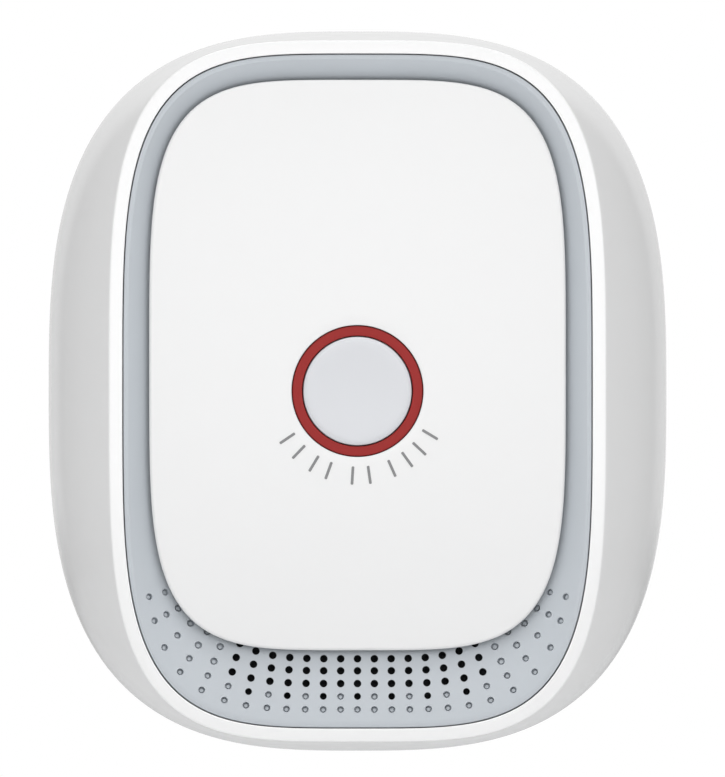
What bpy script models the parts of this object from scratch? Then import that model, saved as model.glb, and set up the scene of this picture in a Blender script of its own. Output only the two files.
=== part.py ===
"""Plug-in carbon monoxide detector, modelled as the pieces it is assembled from.

Units are metres. Everything is modelled in the detector's own face frame: X to the right, Y up the
face and Z out of the wall. The empty wall_frame turns that frame so that world +Z is up and the face
looks along world -Y. Depths are measured from the wall, so a depth of BODY_DEPTH is the front rim.
Pieces that touch in the real object keep a small gap here, because each is a closed mesh of its own.
"""

import math

import bmesh
import bpy
from mathutils import Matrix, Vector

MM = 0.001

# --- Driving dimensions -------------------------------------------------------------------------

# Casing
BODY_WIDTH = 68.4 * MM
BODY_HEIGHT = 79.6 * MM
BODY_DEPTH = 31.0 * MM
WIDEST_DEPTH = 10.0 * MM  # depth of the widest section
SIDE_FLARE = 6.9 * MM  # how far each side swells from the rim to the widest section
END_FLARE = 1.25 * MM  # the same at the top and bottom
BACK_INSET = 3.0 * MM  # how far the back edge rounds in from the widest section
PARTING_DEPTH = 6.0 * MM  # where the rear cover meets the front housing
WALL = 1.5 * MM
RIM_WIDTH = 1.45 * MM
RIM_THICKNESS = 1.8 * MM
RIM_ROUND = 0.2 * MM
TONGUE_HEIGHT = 3.0 * MM  # rear cover's lip inside the front housing
TONGUE_THICKNESS = 1.2 * MM
BACK_THICKNESS = 2.0 * MM
BODY_POWER = 2.94  # superellipse exponents: 2 is an ellipse, larger is squarer
RIM_POWER = 3.8
OPENING_POWER = 3.92
PANEL_POWER = 4.24
BOARD_POWER = 6.0

# Clearances
GAP = 0.3 * MM  # between pieces that rest on each other
SEAM_GAP = 0.2 * MM  # bezel in the rim
BUTTON_GAP = 0.22 * MM  # button in its ring
RING_GAP = 0.25 * MM  # ring in the panel

# Sound bezel
LAND_DROP = 0.2 * MM  # flat edge of the bezel below the rim
LAND_WIDTH = 0.5 * MM
DISH_DROP = 1.8 * MM  # fall of the dish from its edge to the panel's edge
DISH_CURVE = 1.1  # exponent of the fall, a little flatter at the outside
FLOOR_DROP = 0.8 * MM  # from the dish at the panel's edge to the flat floor
FLOOR_MARGIN = 1.5 * MM  # from the panel's edge in to the flat floor
BEZEL_THICKNESS = 1.4 * MM
SKIRT_DROP = 3.6 * MM
SKIRT_THICKNESS = 1.25 * MM
SKIRT_ROOM = 0.05 * MM  # least step from the rim's opening out to the casing's inner wall
SNAP_LENGTH = 6.0 * MM
SNAP_ROOM = 0.2 * MM  # from a snap to the casing's wall
SNAP_HEIGHT = 12.0 * MM  # the snaps' distance above and below the centre line

# Grille
GRILLE_ROW_INSETS = (7.65 * MM, 6.33 * MM, 4.93 * MM, 3.53 * MM, 2.1 * MM)
GRILLE_ROW_POWER = 4.35
GRILLE_PITCH = 1.847 * MM
GRILLE_COLUMNS = 12  # columns on each side of the middle one
GRILLE_FULL_COLUMNS = 7  # columns, from the middle, that are drilled through
GRILLE_HOLE_RADIUS = 0.42 * MM
GRILLE_LAST_HOLE_RADIUS = 0.38 * MM  # in row 4, whose holes are a little finer
GRILLE_GUIDE_MARGIN = 3.05 * MM  # from the panel's side in to the side of the columns' guide
GRILLE_GUIDE_HEIGHT = 13.15 * MM
GRILLE_GUIDE_POWER = 3.39

# Front panel
PANEL_SIDE_MARGIN = 2.95 * MM  # from the rim's opening to the panel
PANEL_TOP_MARGIN = 2.88 * MM
PANEL_BOTTOM_MARGIN = 8.6 * MM
PANEL_THICKNESS = 1.1 * MM
PANEL_EDGE_DROP = 0.3 * MM  # panel's edge below the rim
PANEL_CROWN = 0.4 * MM
PANEL_ROUND = 0.35 * MM
PLINTH_MARGIN = 4.0 * MM
PEG_RADIUS = 1.2 * MM
PEG_SIDE_MARGIN = 10.0 * MM
PEG_END_MARGIN = 9.0 * MM

# Button, ring and switch
BUTTON_RADIUS = 6.04 * MM
BUTTON_PROUD = 0.2 * MM  # button's face above the rim
BUTTON_THICKNESS = 1.4 * MM
BUTTON_DISH = 0.25 * MM
SKIRT_WALL = 0.54 * MM
STOP_REACH = 0.44 * MM  # button's flange outside its ring bore
STOP_THICKNESS = 0.7 * MM
POST_RADIUS = 1.5 * MM
POST_CLEARANCE = 0.35 * MM  # from the button's post to the switch stem at rest
RING_WIDTH = 0.74 * MM
RING_DROP = 0.05 * MM
RING_FLANGE = 2.0 * MM
RING_TUBE_WALL = 0.95 * MM
RING_FLANGE_THICKNESS = 1.1 * MM
SWITCH_SIZE = 6.0 * MM
SWITCH_HEIGHT = 3.0 * MM
STEM_RADIUS = 1.75 * MM
STEM_HEIGHT = 1.2 * MM
SPRING_WIRE = 0.25 * MM
SPRING_TURNS = 5
LED_SIZE = 1.5 * MM
LED_HEIGHT = 1.4 * MM

# Boards
MAIN_BOARD_THICKNESS = 1.2 * MM
MAIN_BOARD_MARGIN = 2.2 * MM  # from the rim's opening to the board
MAIN_BOSS_SIDE_MARGIN = 5.0 * MM
MAIN_BOSS_TOP_MARGIN = 6.0 * MM
MAIN_BOSS_BOTTOM_MARGIN = 17.0 * MM
POWER_BOARD_DEPTH = 6.2 * MM
POWER_BOARD_THICKNESS = 1.2 * MM
POWER_BOARD_SIDE_MARGIN = 15.0 * MM  # from the body's side
POWER_BOARD_END_MARGIN = 12.5 * MM
POWER_SCREW_MARGIN = 3.5 * MM
BOSS_RADIUS = 2.4 * MM
BOARD_SCREW_RADIUS = 1.0 * MM
BOARD_SCREW_HEAD_RADIUS = 2.0 * MM
BOARD_SCREW_HEAD_HEIGHT = 1.3 * MM
BOARD_SCREW_LENGTH = 5.4 * MM
POWER_SCREW_LENGTH = 4.2 * MM

# Casing screws
CASE_SCREW_RADIUS = 1.2 * MM
CASE_SCREW_HEAD_RADIUS = 2.5 * MM
CASE_SCREW_HEAD_HEIGHT = 1.4 * MM
CASE_SCREW_SEAT = 3.2 * MM  # depth of the counterbore's floor
CASE_SCREW_LENGTH = 9.0 * MM
CASE_SCREW_MARGIN = 4.0 * MM  # from the back face's corner
CASE_BOSS_RADIUS = 2.6 * MM
CASE_BOSS_ROOM = 0.6 * MM  # from a boss to the heads of the main board's screws
COVER_BOSS_RADIUS = 3.7 * MM

# Sensor and sounder
SENSOR_PLACE = (-6.5 * MM, 18.0 * MM)
SENSOR_RADIUS = 6.5 * MM
SENSOR_HEIGHT = 4.7 * MM
SENSOR_ROOM = 0.6 * MM  # from its filter cap to the bezel
SENSOR_NECK_RADIUS = 3.5 * MM
SENSOR_NECK_HEIGHT = 1.0 * MM
FILTER_RADIUS = 4.6 * MM
FILTER_HEIGHT = 1.7 * MM
FILTER_HOLE_RADIUS = 1.0 * MM
SOUNDER_RADIUS = 9.5 * MM
SOUNDER_ROOM = 0.4 * MM  # from its gasket to the dust mesh
SOUNDER_WALL = 0.8 * MM
SOUNDER_HOLE_RADIUS = 1.4 * MM
SOUNDER_MARGIN = 2.5 * MM  # from the rim's opening, at the bottom
SOUNDER_LEDGE = 0.7 * MM
DISC_THICKNESS = 0.6 * MM
DISC_DROP = 3.0 * MM
GASKET_INNER_RADIUS = 5.5 * MM
GASKET_OUTER_RADIUS = 9.0 * MM
GASKET_THICKNESS = 0.9 * MM
MESH_THICKNESS = 0.3 * MM

# Microcontroller, on the main board: its size, and its place across the face
CHIP_SIZE = (7.0 * MM, 7.0 * MM, 1.2 * MM)
CHIP_PLACE = (10.0 * MM, 16.0 * MM)

# Components on the power board
FUSE_RADIUS = 1.8 * MM
FUSE_LENGTH = 10.0 * MM
FUSE_PLACE = (-6.5 * MM, 16.5 * MM)
VARISTOR_RADIUS = 3.2 * MM
VARISTOR_LENGTH = 3.2 * MM
X_CAPACITOR_SIZE = (10.0 * MM, 5.0 * MM, 8.5 * MM)
X_CAPACITOR_PLACE = (-7.5 * MM, 1.2 * MM)
RECTIFIER_SIZE = (6.0 * MM, 5.0 * MM, 3.0 * MM)
RECTIFIER_PLACE = (7.5 * MM, 1.0 * MM)
LARGE_CAPACITOR_RADIUS = 3.9 * MM
LARGE_CAPACITOR_LENGTH = 9.5 * MM
LARGE_CAPACITOR_PLACE = (-6.6 * MM, -8.0 * MM)
SMALL_CAPACITOR_RADIUS = 2.5 * MM
SMALL_CAPACITOR_LENGTH = 7.0 * MM
SMALL_CAPACITOR_PLACE = (-7.0 * MM, -17.0 * MM)
TRANSFORMER_PLACE = (5.6 * MM, -11.0 * MM)
TRANSFORMER_ROOM = 0.9 * MM  # from the bobbin to the main board
CORE_SIZE = (13.0 * MM, 12.0 * MM, 5.0 * MM)
CORE_WINDOW = (3.2 * MM, 7.4 * MM)
CORE_LEG = 3.5 * MM
HEADER_SIZE = (10.5 * MM, 2.5 * MM)
HEADER_SIDE = 7.5 * MM  # from the centre line
HEADER_TOP_MARGIN = 3.0 * MM
COMPONENT_ROUND = 0.3 * MM

# Plug
BLADE_WIDTH = 6.35 * MM
BLADE_THICKNESS = 1.5 * MM
BLADE_PITCH = 12.7 * MM
BLADE_LENGTH = 17.5 * MM
BLADE_TIP = 1.6 * MM
BLADE_HOLE_RADIUS = 1.6 * MM
BLADE_HOLE_DISTANCE = 11.7 * MM  # from the wall
BLADE_HEIGHT = 9.0 * MM  # blades' distance above the centre
SHOULDER_WIDTH = 9.0 * MM
SHOULDER_THICKNESS = 2.0 * MM
TAIL_WIDTH = 3.0 * MM
TAIL_STICKOUT = 0.8 * MM
HOLDER_SIZE = (25.0 * MM, 14.0 * MM, 3.3 * MM)

# Rating label, blank
LABEL_SIZE = (30.0 * MM, 18.0 * MM)
LABEL_POCKET = 0.5 * MM
LABEL_THICKNESS = 0.15 * MM
LABEL_DROP = 20.0 * MM

# Facets
OUTLINE_STEPS = 48
ROUND_STEPS = 32
SMALL_STEPS = 16
SCREW_STEPS = 12
HOLE_STEPS = 6

# --- Sizes that follow from them ----------------------------------------------------------------

RIM_HALF = (BODY_WIDTH / 2 - SIDE_FLARE, BODY_HEIGHT / 2 - END_FLARE)
OPENING_HALF = (RIM_HALF[0] - RIM_WIDTH, RIM_HALF[1] - RIM_WIDTH)
PANEL_HALF = (
    OPENING_HALF[0] - PANEL_SIDE_MARGIN,
    OPENING_HALF[1] - (PANEL_TOP_MARGIN + PANEL_BOTTOM_MARGIN) / 2,
)
PANEL_CENTRE = (PANEL_BOTTOM_MARGIN - PANEL_TOP_MARGIN) / 2

LAND_DEPTH = BODY_DEPTH - LAND_DROP
FLOOR_DEPTH = LAND_DEPTH - DISH_DROP - FLOOR_DROP
BEZEL_BACK = FLOOR_DEPTH - BEZEL_THICKNESS
PANEL_EDGE_DEPTH = BODY_DEPTH - PANEL_EDGE_DROP
PANEL_BACK = PANEL_EDGE_DEPTH - PANEL_THICKNESS
PLINTH_DEPTH = FLOOR_DEPTH + GAP

RING_BORE = BUTTON_RADIUS + BUTTON_GAP
RING_RADIUS = RING_BORE + RING_WIDTH
CENTRE_HOLE = RING_RADIUS + RING_GAP
TUBE_BORE = BUTTON_RADIUS + BUTTON_GAP + STOP_REACH + BUTTON_GAP
TUBE_RADIUS = TUBE_BORE + RING_TUBE_WALL
RING_FLANGE_TOP = BEZEL_BACK - GAP
RING_STEP = RING_FLANGE_TOP - RING_FLANGE_THICKNESS / 2

ON_MAIN = BEZEL_BACK - SENSOR_ROOM - FILTER_HEIGHT - GAP - SENSOR_HEIGHT
MAIN_FRONT = ON_MAIN - GAP  # components on the main board start a gap above it
MAIN_BACK = MAIN_FRONT - MAIN_BOARD_THICKNESS
CASE_BOSS_TOP = MAIN_BACK - GAP - BOARD_SCREW_HEAD_HEIGHT - CASE_BOSS_ROOM
MAIN_HALF = (OPENING_HALF[0] - MAIN_BOARD_MARGIN, OPENING_HALF[1] - MAIN_BOARD_MARGIN)
MAIN_BOSSES = [
    (side * (MAIN_HALF[0] - MAIN_BOSS_SIDE_MARGIN), height)
    for height in (MAIN_HALF[1] - MAIN_BOSS_TOP_MARGIN, MAIN_BOSS_BOTTOM_MARGIN - MAIN_HALF[1])
    for side in (-1, 1)
]
POWER_FRONT = POWER_BOARD_DEPTH + POWER_BOARD_THICKNESS
ON_POWER = POWER_FRONT + GAP
POWER_HALF = (BODY_WIDTH / 2 - POWER_BOARD_SIDE_MARGIN, BODY_HEIGHT / 2 - POWER_BOARD_END_MARGIN)
POWER_SCREWS = [
    (side * (POWER_HALF[0] - POWER_SCREW_MARGIN), POWER_SCREW_MARGIN - POWER_HALF[1])
    for side in (-1, 1)
]

SWITCH_TOP = ON_MAIN + SWITCH_HEIGHT
STEM_BASE = SWITCH_TOP - 1.0 * MM
STEM_TOP = SWITCH_TOP + STEM_HEIGHT
BUTTON_FACE = BODY_DEPTH + BUTTON_PROUD
BUTTON_UNDER = BUTTON_FACE - BUTTON_THICKNESS
STOP_TOP = RING_STEP - GAP
SPRING_RADIUS = BUTTON_RADIUS - SKIRT_WALL - GAP - SPRING_WIRE

MESH_BACK = LAND_DEPTH - DISH_DROP - BEZEL_THICKNESS - GAP - MESH_THICKNESS
SOUNDER_HEIGHT = MESH_BACK - SOUNDER_ROOM - GASKET_THICKNESS - GAP - ON_MAIN
SOUNDER_PLACE = (0.0, SOUNDER_MARGIN + SOUNDER_RADIUS - OPENING_HALF[1])


# --- Scene and materials ------------------------------------------------------------------------


def clear_scene():
    for item in list(bpy.data.objects):
        bpy.data.objects.remove(item, do_unlink=True)


def new_collection(name, parent=None):
    made = bpy.data.collections.new(name)
    (parent or bpy.context.scene.collection).children.link(made)
    return made


clear_scene()
PARTS = new_collection("carbon_monoxide_detector")
CUTTERS = new_collection("cutters")
CUTTERS.hide_render = True

WALL_FRAME = bpy.data.objects.new("wall_frame", None)
WALL_FRAME.rotation_euler = (math.pi / 2, 0.0, 0.0)
PARTS.objects.link(WALL_FRAME)


def material(name, colour, roughness, metallic=0.0):
    made = bpy.data.materials.new(name)
    made.use_nodes = True
    shader = made.node_tree.nodes["Principled BSDF"]
    shader.inputs["Base Color"].default_value = (*colour, 1.0)
    shader.inputs["Roughness"].default_value = roughness
    shader.inputs["Metallic"].default_value = metallic
    made.diffuse_color = (*colour, 1.0)
    return made


WHITE_GLOSS = material("white_gloss_plastic", (0.83, 0.84, 0.85), 0.25)
PANEL_WHITE = material("panel_white_plastic", (0.88, 0.88, 0.89), 0.32)
BEZEL_GREY = material("bezel_grey_plastic", (0.56, 0.59, 0.62), 0.45)
BUTTON_GREY = material("button_grey_plastic", (0.70, 0.73, 0.76), 0.4)
RING_RED = material("ring_red_plastic", (0.40, 0.03, 0.03), 0.3)
DARK_PLASTIC = material("dark_plastic", (0.03, 0.03, 0.035), 0.5)
BOARD_GREEN = material("circuit_board", (0.02, 0.16, 0.07), 0.45)
STEEL = material("zinc_steel", (0.62, 0.62, 0.60), 0.35, 1.0)
BRASS = material("brass", (0.72, 0.55, 0.25), 0.3, 1.0)
NICKEL = material("nickel", (0.70, 0.68, 0.63), 0.25, 1.0)
FERRITE = material("ferrite", (0.05, 0.05, 0.055), 0.6)
TAPE_YELLOW = material("transformer_tape", (0.75, 0.55, 0.08), 0.4)
FOAM = material("black_foam", (0.02, 0.02, 0.02), 0.9)
CAPACITOR_YELLOW = material("capacitor_yellow", (0.80, 0.62, 0.12), 0.4)
VARISTOR_BLUE = material("varistor_blue", (0.05, 0.16, 0.50), 0.4)
FUSE_BODY = material("fuse_ceramic", (0.75, 0.72, 0.66), 0.4)
LED_CLEAR = material("led_clear", (0.85, 0.80, 0.70), 0.2)
LABEL_WHITE = material("label_paper", (0.75, 0.76, 0.77), 0.6)


# --- Shapes -------------------------------------------------------------------------------------


def outline(half, power, centre=0.0, inset=0.0, steps=OUTLINE_STEPS):
    """Points of a superellipse, anticlockwise from +X, moved in by inset."""
    points = []
    for step in range(steps):
        turn = 2 * math.pi * step / steps
        c, s = math.cos(turn), math.sin(turn)
        reach = (abs(c) ** power + abs(s) ** power) ** (-1 / power)
        points.append(((half[0] - inset) * c * reach, centre + (half[1] - inset) * s * reach))
    return points


def circle(radius, steps=OUTLINE_STEPS):
    return outline((radius, radius), 2, steps=steps)


def blend(first, second, share):
    """The outline that lies this share of the way from one outline to another."""
    return [
        (a[0] + (b[0] - a[0]) * share, a[1] + (b[1] - a[1]) * share)
        for a, b in zip(first, second)
    ]


def farther(first, second):
    """Point by point, whichever of two outlines lies farther out."""
    return [max(pair, key=lambda point: math.hypot(*point)) for pair in zip(first, second)]


def at(points, depth):
    return [(x, y, depth) for x, y in points]


def add_part(name, mesh, finish, place=(0.0, 0.0, 0.0)):
    """A named piece in the parts collection, standing in the face frame."""
    made = bpy.data.objects.new(name, mesh)
    mesh.materials.append(finish)
    made.location = place
    made.parent = WALL_FRAME
    PARTS.objects.link(made)
    return made


def smooth(mesh, angle=35):
    mesh.shade_smooth()
    mesh.set_sharp_from_angle(angle=math.radians(angle))


def mesh_of(work, name):
    bmesh.ops.recalc_face_normals(work, faces=work.faces)
    mesh = bpy.data.meshes.new(name)
    work.to_mesh(mesh)
    work.free()
    return mesh


def loft(name, rings, looped=False):
    """A closed skin through rings of points. Looped joins the last ring to the first, and
    otherwise both ends are capped."""
    work = bmesh.new()
    rows = [[work.verts.new(point) for point in ring] for ring in rings]
    pairs = list(zip(rows, rows[1:]))
    if looped:
        pairs.append((rows[-1], rows[0]))
    else:
        work.faces.new(rows[0])
        work.faces.new(rows[-1])
    count = len(rows[0])
    for low, high in pairs:
        for step in range(count):
            after = (step + 1) % count
            work.faces.new((low[step], low[after], high[after], high[step]))
    mesh = mesh_of(work, name)
    smooth(mesh)
    return mesh


def box_mesh(name, size, centre=(0.0, 0.0, 0.0), turn=0.0):
    work = bmesh.new()
    matrix = Matrix.Translation(centre) @ Matrix.Rotation(turn, 4, "Z") @ Matrix.Diagonal((*size, 1.0))
    bmesh.ops.create_cube(work, size=1.0, matrix=matrix)
    return mesh_of(work, name)


def add_cylinder(work, place, radius, low, high, steps):
    matrix = Matrix.Translation((place[0], place[1], (low + high) / 2))
    bmesh.ops.create_cone(
        work, cap_ends=True, segments=steps, radius1=radius, radius2=radius, depth=high - low, matrix=matrix
    )


def cylinders_mesh(name, places, radius, low, high, steps=SMALL_STEPS):
    work = bmesh.new()
    for place in places:
        add_cylinder(work, place, radius, low, high, steps)
    return mesh_of(work, name)


def box_part(name, finish, size, place, base, round_by=0.0):
    """A box standing on base, with its long edges rounded a little."""
    made = add_part(name, box_mesh(name, size), finish, (*place, base + size[2] / 2))
    if round_by:
        rounding = made.modifiers.new("rounded_edges", "BEVEL")
        rounding.width = round_by
        rounding.segments = 1
        rounding.limit_method = "ANGLE"
    return made


def turned_part(name, finish, profile, place=(0.0, 0.0), base=0.0, steps=ROUND_STEPS, ring=False):
    """A turned piece. The profile runs from its top, down its outer side, to its bottom, as
    (radius, depth); a ring's profile closes on itself."""
    mesh = bpy.data.meshes.new(name)
    points = [(radius, 0.0, depth) for radius, depth in profile]
    edges = [(i, i + 1) for i in range(len(points) - 1)]
    if ring:
        edges.append((len(points) - 1, 0))
    mesh.from_pydata(points, edges, [])
    made = add_part(name, mesh, finish, (*place, base))
    turning = made.modifiers.new("turned", "SCREW")
    turning.axis = "Z"
    turning.angle = 2 * math.pi
    turning.steps = steps
    turning.render_steps = steps
    turning.use_merge_vertices = True
    turning.merge_threshold = 0.00001
    turning.use_smooth_shade = False
    return made


def helper(name, mesh, collection):
    """A cutter or a piece to join, kept out of the model itself."""
    made = bpy.data.objects.new(name, mesh)
    made.parent = WALL_FRAME
    made.hide_render = True
    made.display_type = "WIRE"
    collection.objects.link(made)
    return made


def boolean(target, operation, meshes):
    """Joins meshes to the target, or cuts them out of it."""
    collection = new_collection(f"{target.name}_{operation.lower()}", CUTTERS)
    for mesh in meshes:
        helper(mesh.name, mesh, collection)
    change = target.modifiers.new(operation.lower(), "BOOLEAN")
    change.operation = operation
    change.operand_type = "COLLECTION"
    change.collection = collection
    change.solver = "EXACT"


# --- Casing -------------------------------------------------------------------------------------


def body_outline(depth, inset=0.0):
    """The casing's outer side at a depth, moved in by inset."""
    if depth >= WIDEST_DEPTH:
        share = math.sin(math.pi / 2 * (BODY_DEPTH - depth) / (BODY_DEPTH - WIDEST_DEPTH))
        half = (RIM_HALF[0] + SIDE_FLARE * share, RIM_HALF[1] + END_FLARE * share)
        power = RIM_POWER + (BODY_POWER - RIM_POWER) * share
        return outline(half, power, inset=inset)
    behind = (WIDEST_DEPTH - depth) / WIDEST_DEPTH
    inset += BACK_INSET * (1 - math.sqrt(max(0.0, 1 - behind**2)))
    return outline((BODY_WIDTH / 2, BODY_HEIGHT / 2), BODY_POWER, inset=inset)


def body_ring(depth, inset=0.0):
    return at(body_outline(depth, inset), depth)


def opening_ring(depth, inset=0.0):
    return at(outline(OPENING_HALF, OPENING_POWER, inset=inset), depth)


def inner_outline(depth):
    """The inside of the casing's wall, which leaves the bezel's skirt its room."""
    return farther(body_outline(depth, WALL), outline(OPENING_HALF, OPENING_POWER, inset=-SKIRT_ROOM))


def wall_half_width(depth, height):
    """Half the width inside the casing's wall at a height above or below the centre line."""
    points = inner_outline(depth)
    for lower, upper in zip(points, points[1:]):
        if upper[1] >= height:
            share = (height - lower[1]) / (upper[1] - lower[1])
            return lower[0] + (upper[0] - lower[0]) * share
    raise ValueError("the height is above the casing")


def case_screw_places():
    """The casing screws' four places, inside the corners of the flat back face."""
    corner = body_outline(0.0)[OUTLINE_STEPS // 8]
    away = CASE_SCREW_MARGIN / math.sqrt(2)
    x, y = corner[0] - away, corner[1] - away
    return [(sx * x, sy * y) for sy in (1, -1) for sx in (1, -1)]


def boss_and_rib(name, place, radius, low, high, grow=0.0):
    """A screw boss with a tapered rib that runs out to the casing's corner wall."""
    wall_point = Vector(body_outline(WIDEST_DEPTH, WALL * 0.6)[OUTLINE_STEPS // 8])
    end = Vector((math.copysign(wall_point.x, place[0]), math.copysign(wall_point.y, place[1])))
    start = Vector(place)
    along = (end - start).normalized()
    across = Vector((-along.y, along.x))
    rib_half = 0.8 * MM + grow
    work = bmesh.new()
    for depth in (low, high):
        for x, y in circle(radius + grow, SMALL_STEPS):
            work.verts.new((start.x + x, start.y + y, depth))
        for side in (-1, 1):
            corner = end + across * rib_half * side
            work.verts.new((corner.x, corner.y, depth))
    hull = bmesh.ops.convex_hull(work, input=work.verts)
    inner = set(hull["geom_interior"] + hull["geom_unused"])
    spare = [item for item in inner if isinstance(item, bmesh.types.BMVert)]
    bmesh.ops.delete(work, geom=spare, context="VERTS")
    return mesh_of(work, name)


def front_housing():
    rim = [body_ring(BODY_DEPTH, RIM_ROUND), body_ring(BODY_DEPTH - RIM_ROUND)]
    side_depths = [WIDEST_DEPTH + (BODY_DEPTH - WIDEST_DEPTH) * share for share in (0.86, 0.74, 0.5, 0.26)]
    start = PARTING_DEPTH + GAP
    outer = [body_ring(depth) for depth in side_depths + [WIDEST_DEPTH, start]]
    inner = [at(inner_outline(depth), depth) for depth in [start, WIDEST_DEPTH] + side_depths[::-1]]
    ledge_depth = BODY_DEPTH - RIM_THICKNESS
    ledge = at(inner_outline(ledge_depth), ledge_depth)
    edge = [ledge, opening_ring(ledge_depth), opening_ring(BODY_DEPTH)]
    housing = add_part("front_housing", loft("front_housing", rim + outer + inner + edge, True), WHITE_GLOSS)
    places = case_screw_places()
    bosses = [
        boss_and_rib(f"boss_{i}", place, CASE_BOSS_RADIUS, start, CASE_BOSS_TOP)
        for i, place in enumerate(places)
    ]
    boolean(housing, "UNION", bosses)
    pilot_radius = CASE_SCREW_RADIUS + GAP
    pilots = cylinders_mesh("pilots", places, pilot_radius, start - MM, CASE_BOSS_TOP - MM, SCREW_STEPS)
    boolean(housing, "DIFFERENCE", [pilots])


def stepped_cutter(name, place, steps):
    """A stack of cylinders on one axis, as (radius, depth) pairs from one end to the other."""
    rings = [
        [(place[0] + x, place[1] + y, depth) for x, y in circle(radius, SMALL_STEPS)]
        for radius, depth in steps
    ]
    return loft(name, rings)


def rear_cover():
    outside = [body_ring(depth) for depth in (0.0, 0.6 * MM, 1.8 * MM, 3.6 * MM, PARTING_DEPTH)]
    lap = WALL + GAP
    tongue_top = PARTING_DEPTH + TONGUE_HEIGHT
    inside_floor = at(body_outline(0.0, WALL), BACK_THICKNESS)
    tongue = [
        body_ring(PARTING_DEPTH, lap),
        body_ring(tongue_top, lap),
        body_ring(tongue_top, lap + TONGUE_THICKNESS),
        body_ring(BACK_THICKNESS + 2 * MM, lap + TONGUE_THICKNESS),
        inside_floor,
    ]
    cover = add_part("rear_cover", loft("rear_cover", outside + tongue), WHITE_GLOSS)
    places = case_screw_places()
    collars = cylinders_mesh("collars", places, COVER_BOSS_RADIUS, MM, PARTING_DEPTH)
    posts = cylinders_mesh("posts", POWER_SCREWS, BOSS_RADIUS, MM, POWER_BOARD_DEPTH - GAP)
    boolean(cover, "UNION", [collars, posts])
    seats = [
        stepped_cutter(
            f"seat_{i}",
            place,
            [
                (CASE_SCREW_HEAD_RADIUS + GAP, -MM),
                (CASE_SCREW_HEAD_RADIUS + GAP, CASE_SCREW_SEAT),
                (CASE_SCREW_RADIUS + GAP, CASE_SCREW_SEAT),
                (CASE_SCREW_RADIUS + GAP, PARTING_DEPTH + MM),
            ],
        )
        for i, place in enumerate(places)
    ]
    clearances = [
        boss_and_rib(f"clearance_{i}", place, CASE_BOSS_RADIUS, PARTING_DEPTH, tongue_top + MM, GAP)
        for i, place in enumerate(places)
    ]
    pilot_radius = BOARD_SCREW_RADIUS + GAP
    pilot_floor = BACK_THICKNESS + GAP
    pilots = cylinders_mesh("pilots", POWER_SCREWS, pilot_radius, pilot_floor, POWER_BOARD_DEPTH, SCREW_STEPS)
    slots = [
        box_mesh(
            f"slot_{i}",
            (BLADE_THICKNESS + 2 * GAP, BLADE_WIDTH + 2 * GAP, 2 * (BACK_THICKNESS + MM)),
            (x, BLADE_HEIGHT, 0.0),
        )
        for i, x in enumerate(blade_centres())
    ]
    pocket = box_mesh("label_pocket", (LABEL_SIZE[0] + 2 * GAP, LABEL_SIZE[1] + 2 * GAP, 2 * LABEL_POCKET))
    pocket.transform(Matrix.Translation((0.0, -LABEL_DROP, 0.0)))
    boolean(cover, "DIFFERENCE", seats + clearances + [pilots, pocket] + slots)


def screw_part(name, place, head_back, out, radius, head_radius, head_height, length):
    """A pan head screw. The head starts at head_back and the shank points along out (+1 or -1)."""
    tip = 0.8 * MM
    profile = [
        (0.0, -head_height),
        (head_radius * 0.72, -head_height),
        (head_radius, -head_height * 0.45),
        (head_radius, 0.0),
        (radius, 0.0),
        (radius, length - tip),
        (radius * 0.4, length),
        (0.0, length),
    ]
    profile = [(r, out * z) for r, z in profile]
    if out > 0:
        profile.reverse()
    seat = head_back + out * head_height
    return turned_part(name, STEEL, profile, place, seat, SCREW_STEPS)


def casing_screws():
    for i, place in enumerate(case_screw_places(), 1):
        start = CASE_SCREW_SEAT - GAP - CASE_SCREW_HEAD_HEIGHT
        screw_part(
            f"housing_screw_{i}",
            place,
            start,
            1,
            CASE_SCREW_RADIUS,
            CASE_SCREW_HEAD_RADIUS,
            CASE_SCREW_HEAD_HEIGHT,
            CASE_SCREW_LENGTH,
        )


def rating_label():
    size = (*LABEL_SIZE, LABEL_THICKNESS)
    base = LABEL_POCKET - GAP - LABEL_THICKNESS
    box_part("rating_label", LABEL_WHITE, size, (0.0, -LABEL_DROP), base)


# --- Bezel and grille ---------------------------------------------------------------------------


def panel_outline(inset=0.0):
    return outline(PANEL_HALF, PANEL_POWER, PANEL_CENTRE, inset)


def dish_ring(share, drop=0.0):
    """A ring of the dish: share 0 is the edge of the flat land, 1 the panel's edge."""
    land = outline(OPENING_HALF, OPENING_POWER, inset=SEAM_GAP + LAND_WIDTH)
    depth = LAND_DEPTH - DISH_DROP * share**DISH_CURVE - drop
    return at(blend(land, panel_outline(), share), depth)


def along_curve(points, distance):
    """The point and the unit direction at a distance along a line of points."""
    for first, second in zip(points, points[1:]):
        step = second - first
        if distance <= step.length:
            return first + step.normalized() * distance, step.normalized()
        distance -= step.length
    raise ValueError("the grille is longer than its guide")


def grille_places():
    """Every hole of the grille as (column, row, x, y). The columns stand square to a guide curve
    under the panel, an even pitch apart, and the rows follow the rim's opening."""
    half_width = PANEL_HALF[0] - GRILLE_GUIDE_MARGIN
    centre = PANEL_CENTRE - PANEL_HALF[1] + GRILLE_GUIDE_HEIGHT
    guide = outline((half_width, GRILLE_GUIDE_HEIGHT), GRILLE_GUIDE_POWER, centre, steps=720)
    right_side = [Vector(point) for point in guide[540:] + guide[:60]]
    found = []
    for column in range(GRILLE_COLUMNS + 1):
        root, direction = along_curve(right_side, column * GRILLE_PITCH)
        normal = Vector((direction.y, -direction.x))
        for row, inset in enumerate(GRILLE_ROW_INSETS, 1):
            place = meet_row(root, normal, inset)
            for side in (1, -1) if column else (1,):
                found.append((side * column, row, side * place.x, place.y))
    return found


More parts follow.
